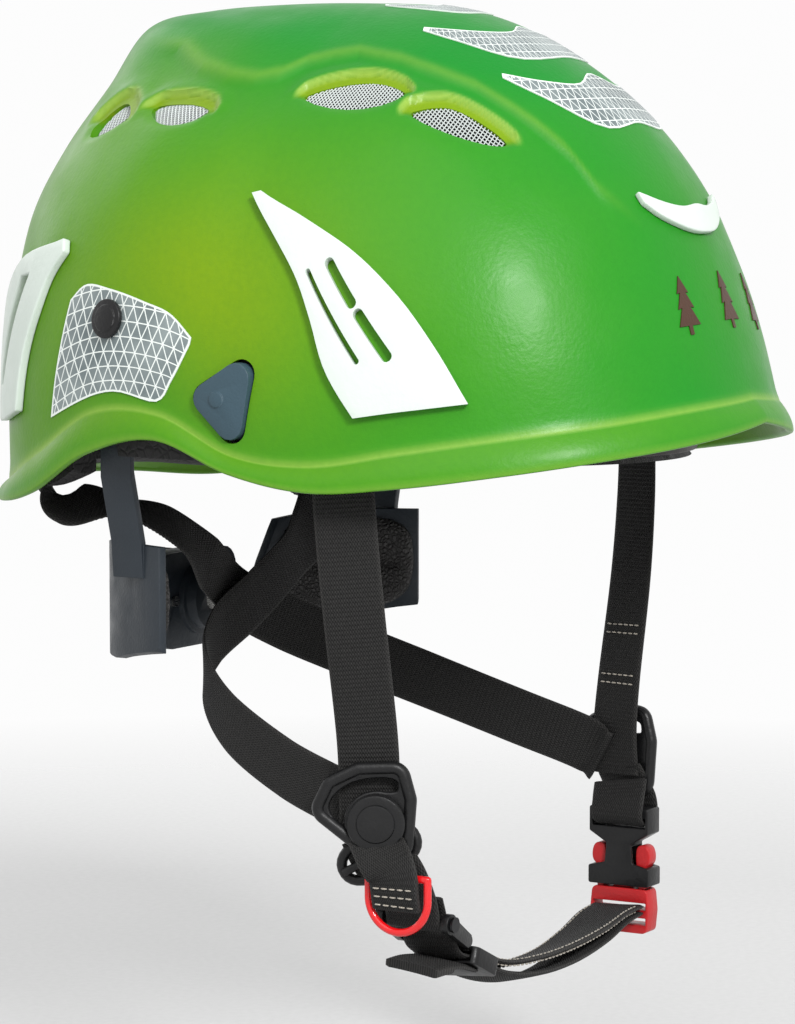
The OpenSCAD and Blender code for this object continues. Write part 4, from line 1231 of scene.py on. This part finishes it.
front_right = webbing(
    "front_webbing_right",
    route_to([[-93, -33, 7], [-91.5, -34, -16], [-88, -35, -44], [-80.2, -34.8, -80]], AT_RIGHT,
             [(0, 8, -3.3), (0.3, -7, -2.9)]),
    [[-0.42, 0.9, 0]] * 6, ["front_strap_right"],
)
front_left = webbing(
    "front_webbing_left",
    route_to([[90, -47.2, 7], [88.5, -47.5, -16], [85.5, -47, -44], [78.6, -46, -80]], AT_LEFT,
             [(0, 8, -3.3), (0.3, -7, -2.9)]),
    [[0.42 - 0.05 * k, 0.9, 0] for k in range(6)], ["front_strap_left"],
)
REAR_RIGHT = [
    [-66.8, 101.2, 2.4], [-67.6, 99, -6], [-67.8, 90, -12], [-62, 74, -13], [-44, 63, -21],
    [-24, 62, -35], [0, 65, -49], [24, 61, -60], [46, 48, -71], [63, 24, -83], [72, -8, -95],
    [76.2, -33, -103.5], [75.5, -41, -108],
]
REAR_LEFT = [
    [66.8, 101.2, 2.4], [67.6, 99, -6], [67.5, 89, -12], [62, 71, -13], [44, 58, -21],
    [24, 56, -35], [0, 58, -49], [-24, 58.5, -60], [-46, 49, -71], [-64, 28, -83], [-74, 0, -95],
    [-78, -24, -103], [-76.5, -31, -108],
]
REAR_WIDTH = np.array(
    [[0.57, 0.82, 0], [0.57, 0.8, 0.05], [0.5, 0.4, 0.5], [0.4, 0.9, 0.3], [0.3, 0.7, 0.9]]
    + [[0, 0, 1]] * 8
)
webbing("rear_webbing_right", REAR_RIGHT, REAR_WIDTH, ["rear_strap_right"])
webbing("rear_webbing_left", REAR_LEFT, REAR_WIDTH * [-1, 1, 1], ["rear_strap_left"])
link_right = webbing(
    "link_webbing_looks_right",
    [[-78.2, -34.7, -113], [-76.4, -38, -121], [-75.4, -44.5, -129], [-74.4, -47.4, -135],
     [-73.6, -48, -140], [-72.4, -48, -143.6], [-69.6, -48, -143.6], [-68.6, -48, -140],
     [-70.6, -47.8, -134]],
    [[-0.42, 0.9, 0], [-0.35, 0.92, 0], [-0.15, 0.97, 0]] + [[0, 1, 0]] * 6, ["link_webbing_right"],
)
tab = webbing(
    "ring_tab",
    [[-80.2, -37, -112.5], [-83.8, -42.5, -118.5], [-85.1, -46.8, -124.5], [-84.9, -47.5, -130.5],
     [-83.4, -47.5, -136.6]],
    [[-0.42, 0.9, 0], [-0.3, 0.94, 0], [-0.1, 1, 0], [0, 1, 0], [0, 1, 0]], ends=0.7, wide=0.87,
)
webbing(
    "link_webbing_looks_left",
    [[76.9, -47.2, -112], [78.6, -49, -117], [80.3, -50.4, -122.5], [81.0, -50.5, -127.5],
     [78.6, -50.5, -130.3], [75, -50.5, -130.5], [71.4, -50.5, -130.3], [69.0, -50.5, -127.5],
     [70.2, -50.5, -122], [74.2, -49.4, -116]],
    [[0.15, 1, 0], [0.1, 1, 0]] + [[0, 1, 0]] * 8, ["link_webbing_left"],
)
CHIN = [
    [-58.4, -48.4, -153.6], [-50, -49.5, -158.1], [-32, -51.9, -166.5], [-10, -53.6, -171],
    [14, -54, -171.5], [38, -53, -168.5], [57, -51.3, -164.5], [69.9, -50.5, -163],
]
CHIN_WIDTH = [[0, 0.96, -0.28 * math.exp(-(((p[0] - 5) / 45) ** 2))] for p in CHIN]
LOOP = [[-52.4, -48.9, -154.2], [-55.2, -48.4, -149.6], [-58.0, -48.1, -146.9], [-61.0, -48, -147.6],
        [-61.9, -48.1, -150.6], [-58.6, -48.6, -154.4]]
webbing("chin_webbing_looks", LOOP + CHIN[1:], [[0, 1, 0]] * 6 + CHIN_WIDTH[1:], ["chin_webbing"],
        "chin")
LAYER = [0, 1.9, 3.6, 5.2, 5.6, 4.8, 3.4, 2.4]
upper = np.array(CHIN) + np.array([[0.1 * h, 0, h] for h in LAYER])
chin_upper = webbing("chin_webbing_upper", upper[1:], CHIN_WIDTH[1:], body="chin")
webbing(
    "chin_tail", [[-51, -50.2, -159.6], [-60, -50.4, -157.0], [-69, -50.2, -155.6], [-77, -49.8, -155.4]],
    [[0, 0.98, 0.1]] * 4, body="chin", ends=1.5,
)


def cross_rows(lengths, side, half=8.0):
    return [(l, l, -half, half, side) for l in lengths]


def end_of(strap):
    return strap[3][-1]


for label, strap, side in (("front_right", front_right, 1), ("front_left", front_left, -1)):
    rows = cross_rows([end_of(strap) - back_by for back_by in (33, 36, 51, 54)], side)
    sew(f"stitches_{label}", strap, rows)
for side in (1, -1):
    label = "out" if side > 0 else "in"
    far = end_of(tab)
    sew(f"stitches_link_{label}", tab, cross_rows([far - 2.2, far - 5, far - 7.8], side, 7.4),
        lift=1.3 if side > 0 else 0.78)
    reach = end_of(chin_upper)
    sew(f"stitches_chin_{label}", chin_upper,
        [(8, reach - 4, -8.6, -8.6, side), (8, reach - 4, 8.6, 8.6, side)], "chin")


# ---- hard parts of the harness


def tube(path, radius, closed=True, sides=10):
    """Round bar along points, as verts and faces."""
    p = np.asarray(path, float)
    n = len(p)
    run = unit(np.roll(p, -1, 0) - np.roll(p, 1, 0)) if closed else unit(np.gradient(p, axis=0))
    up = unit(np.cross(p[1] - p[0], p[n // 2] - p[0]))
    verts = []
    for c, r in zip(p, run):
        a = unit(np.cross(r, up))
        b = np.cross(a, r)
        for q in range(sides):
            w = 2 * math.pi * q / sides
            verts.append(c + (a * math.cos(w) + b * math.sin(w)) * radius)
    faces = []
    for j in range(n if closed else n - 1):
        k = (j + 1) % n
        for q in range(sides):
            t = (q + 1) % sides
            faces.append([j * sides + q, j * sides + t, k * sides + t, k * sides + q])
    return verts, faces


def joined(parts):
    verts, faces = [], []
    for v, f in parts:
        base = len(verts)
        verts += list(v)
        faces += [[i + base for i in g] for g in f]
    return verts, faces


DIVIDER = rounded([(-18.6, 1.5), (-13.8, 11.6), (-3.5, 16.6), (11.6, 17.2), (14.6, 6), (13.2, -13.2),
                   (1, -14)], 4.2, 7)
DIVIDER_HOLE = chaikin(
    [(10.9, 7.6), (10.0, 13.6), (-2.6, 13.2), (-11, 9.0), (-15.0, 1.8), (-6.9, -6.4), (-7.4, -2), (-6, 3),
     (-2.2, 6.4), (2.5, 7.6), (6.8, 6.8)], 2)
CAP = (2.5, -2.0)
CAP_PROFILE = [(0, 5.3), (5.4, 5.3), (6.0, 5.15), (6.4, 4.6), (8.4, 4.6), (9.1, 4.35), (9.5, 3.8),
               (9.5, 1.6), (9.2, 1.2), (0, 1.2)]


def divider(side, place):
    """Moulded triangle with a rolled rim, an opening for the straps and a round cap."""

    def at(flat, off):
        return place(np.concatenate([flat, off[:, None]], 1))

    patch_piece(
        f"divider_plate_{side}", at, DIVIDER, [DIVIDER_HOLE],
        -1.4, 1.4, "buckle_black", replaces=[f"divider_{side}"], spacing=2.0, round_edge=0.5,
    )
    ring = [(x * 0.93, y * 0.93, 0.5) for x, y in DIVIDER]
    inner = [(x, y, 0.4) for x, y in DIVIDER_HOLE]
    verts, faces = joined([tube(place(ring), 2.15), tube(place(inner), 1.0)])
    tidy_normals(piece(f"divider_rim_{side}", verts, faces, "buckle_black", angle=80))
    lathe(f"divider_button_{side}", CAP_PROFILE, lambda q: place(q + [*CAP, 0]), [f"divider_cap_{side}"])


def lathe(name, profile, put, replaces, sides=56):
    """Turned piece: profile is (radius, height); put maps (x, y, height) into space."""
    verts, faces, m = [], [], len(profile)
    for q in range(sides):
        w = 2 * math.pi * q / sides
        verts += [(r * math.cos(w), r * math.sin(w), h) for r, h in profile]
    for q in range(sides):
        n = (q + 1) % sides
        faces += [[q * m + i, n * m + i, n * m + i + 1, q * m + i + 1] for i in range(m - 1)]
    obj = piece(name, put(np.array(verts)), faces, "buckle_black", replaces=replaces, angle=28)
    with editing(obj.data) as bm:
        bmesh.ops.remove_doubles(bm, verts=bm.verts, dist=1e-6)
        bmesh.ops.recalc_face_normals(bm, faces=bm.faces)
    shade(obj, 28)


divider("right", AT_RIGHT)
divider("left", AT_LEFT)


def ladder(name, strap, length, half_w, half_l, r):
    """Rounded rectangular frame round a strap, at a length along it."""
    centre, across, out, along = strap
    k = int(np.searchsorted(along, length))
    run = np.cross(across[k], out[k])
    ring = chaikin([(-half_w, -half_l), (half_w, -half_l), (half_w, half_l), (-half_w, half_l)], 3)
    pts = [centre[k] + across[k] * x + run * y + out[k] * 0.2 for x, y in ring]
    bar = [centre[k] + across[k] * x + run * 0.1 + out[k] * -1.9 for x in np.linspace(-half_w, half_w, 9)]
    verts, faces = joined([tube(pts, r), tube(bar, r * 0.8, closed=False)])
    tidy_normals(piece(name, verts, faces, "buckle_black", angle=80))


ladder("ladder_frame", link_right, 7.5, half_w=13.2, half_l=6.6, r=1.8)


def prong(name, to):
    """Sprung side button of the plug, swollen where it fills the socket's side window."""
    outline = [(6.9, -1.5), (9.5, -1.5), (9.6, 7.7), (11.3, 9.2), (11.5, 12.5), (10.3, 15.4),
               (7.2, 15.8), (5.9, 13.6), (6.1, 8.2), (7, 5)]

    def place(flat, off):
        return np.stack([75 + off, -50.5 + to * flat[:, 0], -154 + flat[:, 1]], -1)

    patch_piece(f"{name}_looks", place, chaikin(outline, 2), [], -2.8, 2.8, "buckle_red", body=name[7:],
                replaces=[name], spacing=1.4, round_edge=0.6)


prong("buckle_prong_front", -1)
prong("buckle_prong_rear", 1)


FLAT_ENOUGH = math.radians(3)


def refine(node, width):
    """A copy of a hard CAD node with its sharp edges moulded round, which stands for it."""
    mesh = nodes[node].data.copy()
    with editing(mesh) as bm:
        bmesh.ops.remove_doubles(bm, verts=bm.verts, dist=2e-6)
        bmesh.ops.dissolve_limit(bm, angle_limit=FLAT_ENOUGH, verts=bm.verts, edges=bm.edges)
    obj = bpy.data.objects.new(node + "_looks", mesh)
    bpy.context.scene.collection.objects.link(obj)
    mesh.materials.clear()
    mesh.materials.append(LOOKS[slot_of[node]])
    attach(obj, body_of(nodes[node])[0])
    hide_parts(node)
    bevel(obj, width, 2, 28)


EDGES = {
    "buckle_socket": 1.0, "buckle_plug": 0.7, "chin_slider": 0.8, "chin_link": 0.5,
    "strap_anchors_front": 0.6, "strap_anchors_rear": 0.6, "nape_housing": 1.2, "nape_cover": 0.6,
    "nape_arm_right": 0.6, "nape_arm_left": 0.6, "nape_knob": 0.7, "visor_plug_right": 0.6,
    "visor_plug_left": 0.6, "hanger_retainer_right": 0.3, "hanger_retainer_left": 0.3,
    "headband": 0.5, "side_badge_right": 0.3, "side_badge_left": 0.3,
}
for node, width in EDGES.items():
    refine(node, width)

nodes["link_bar_right"].data.materials[0] = metal_look("steel_black", srgb(52, 52, 54), 0.35)
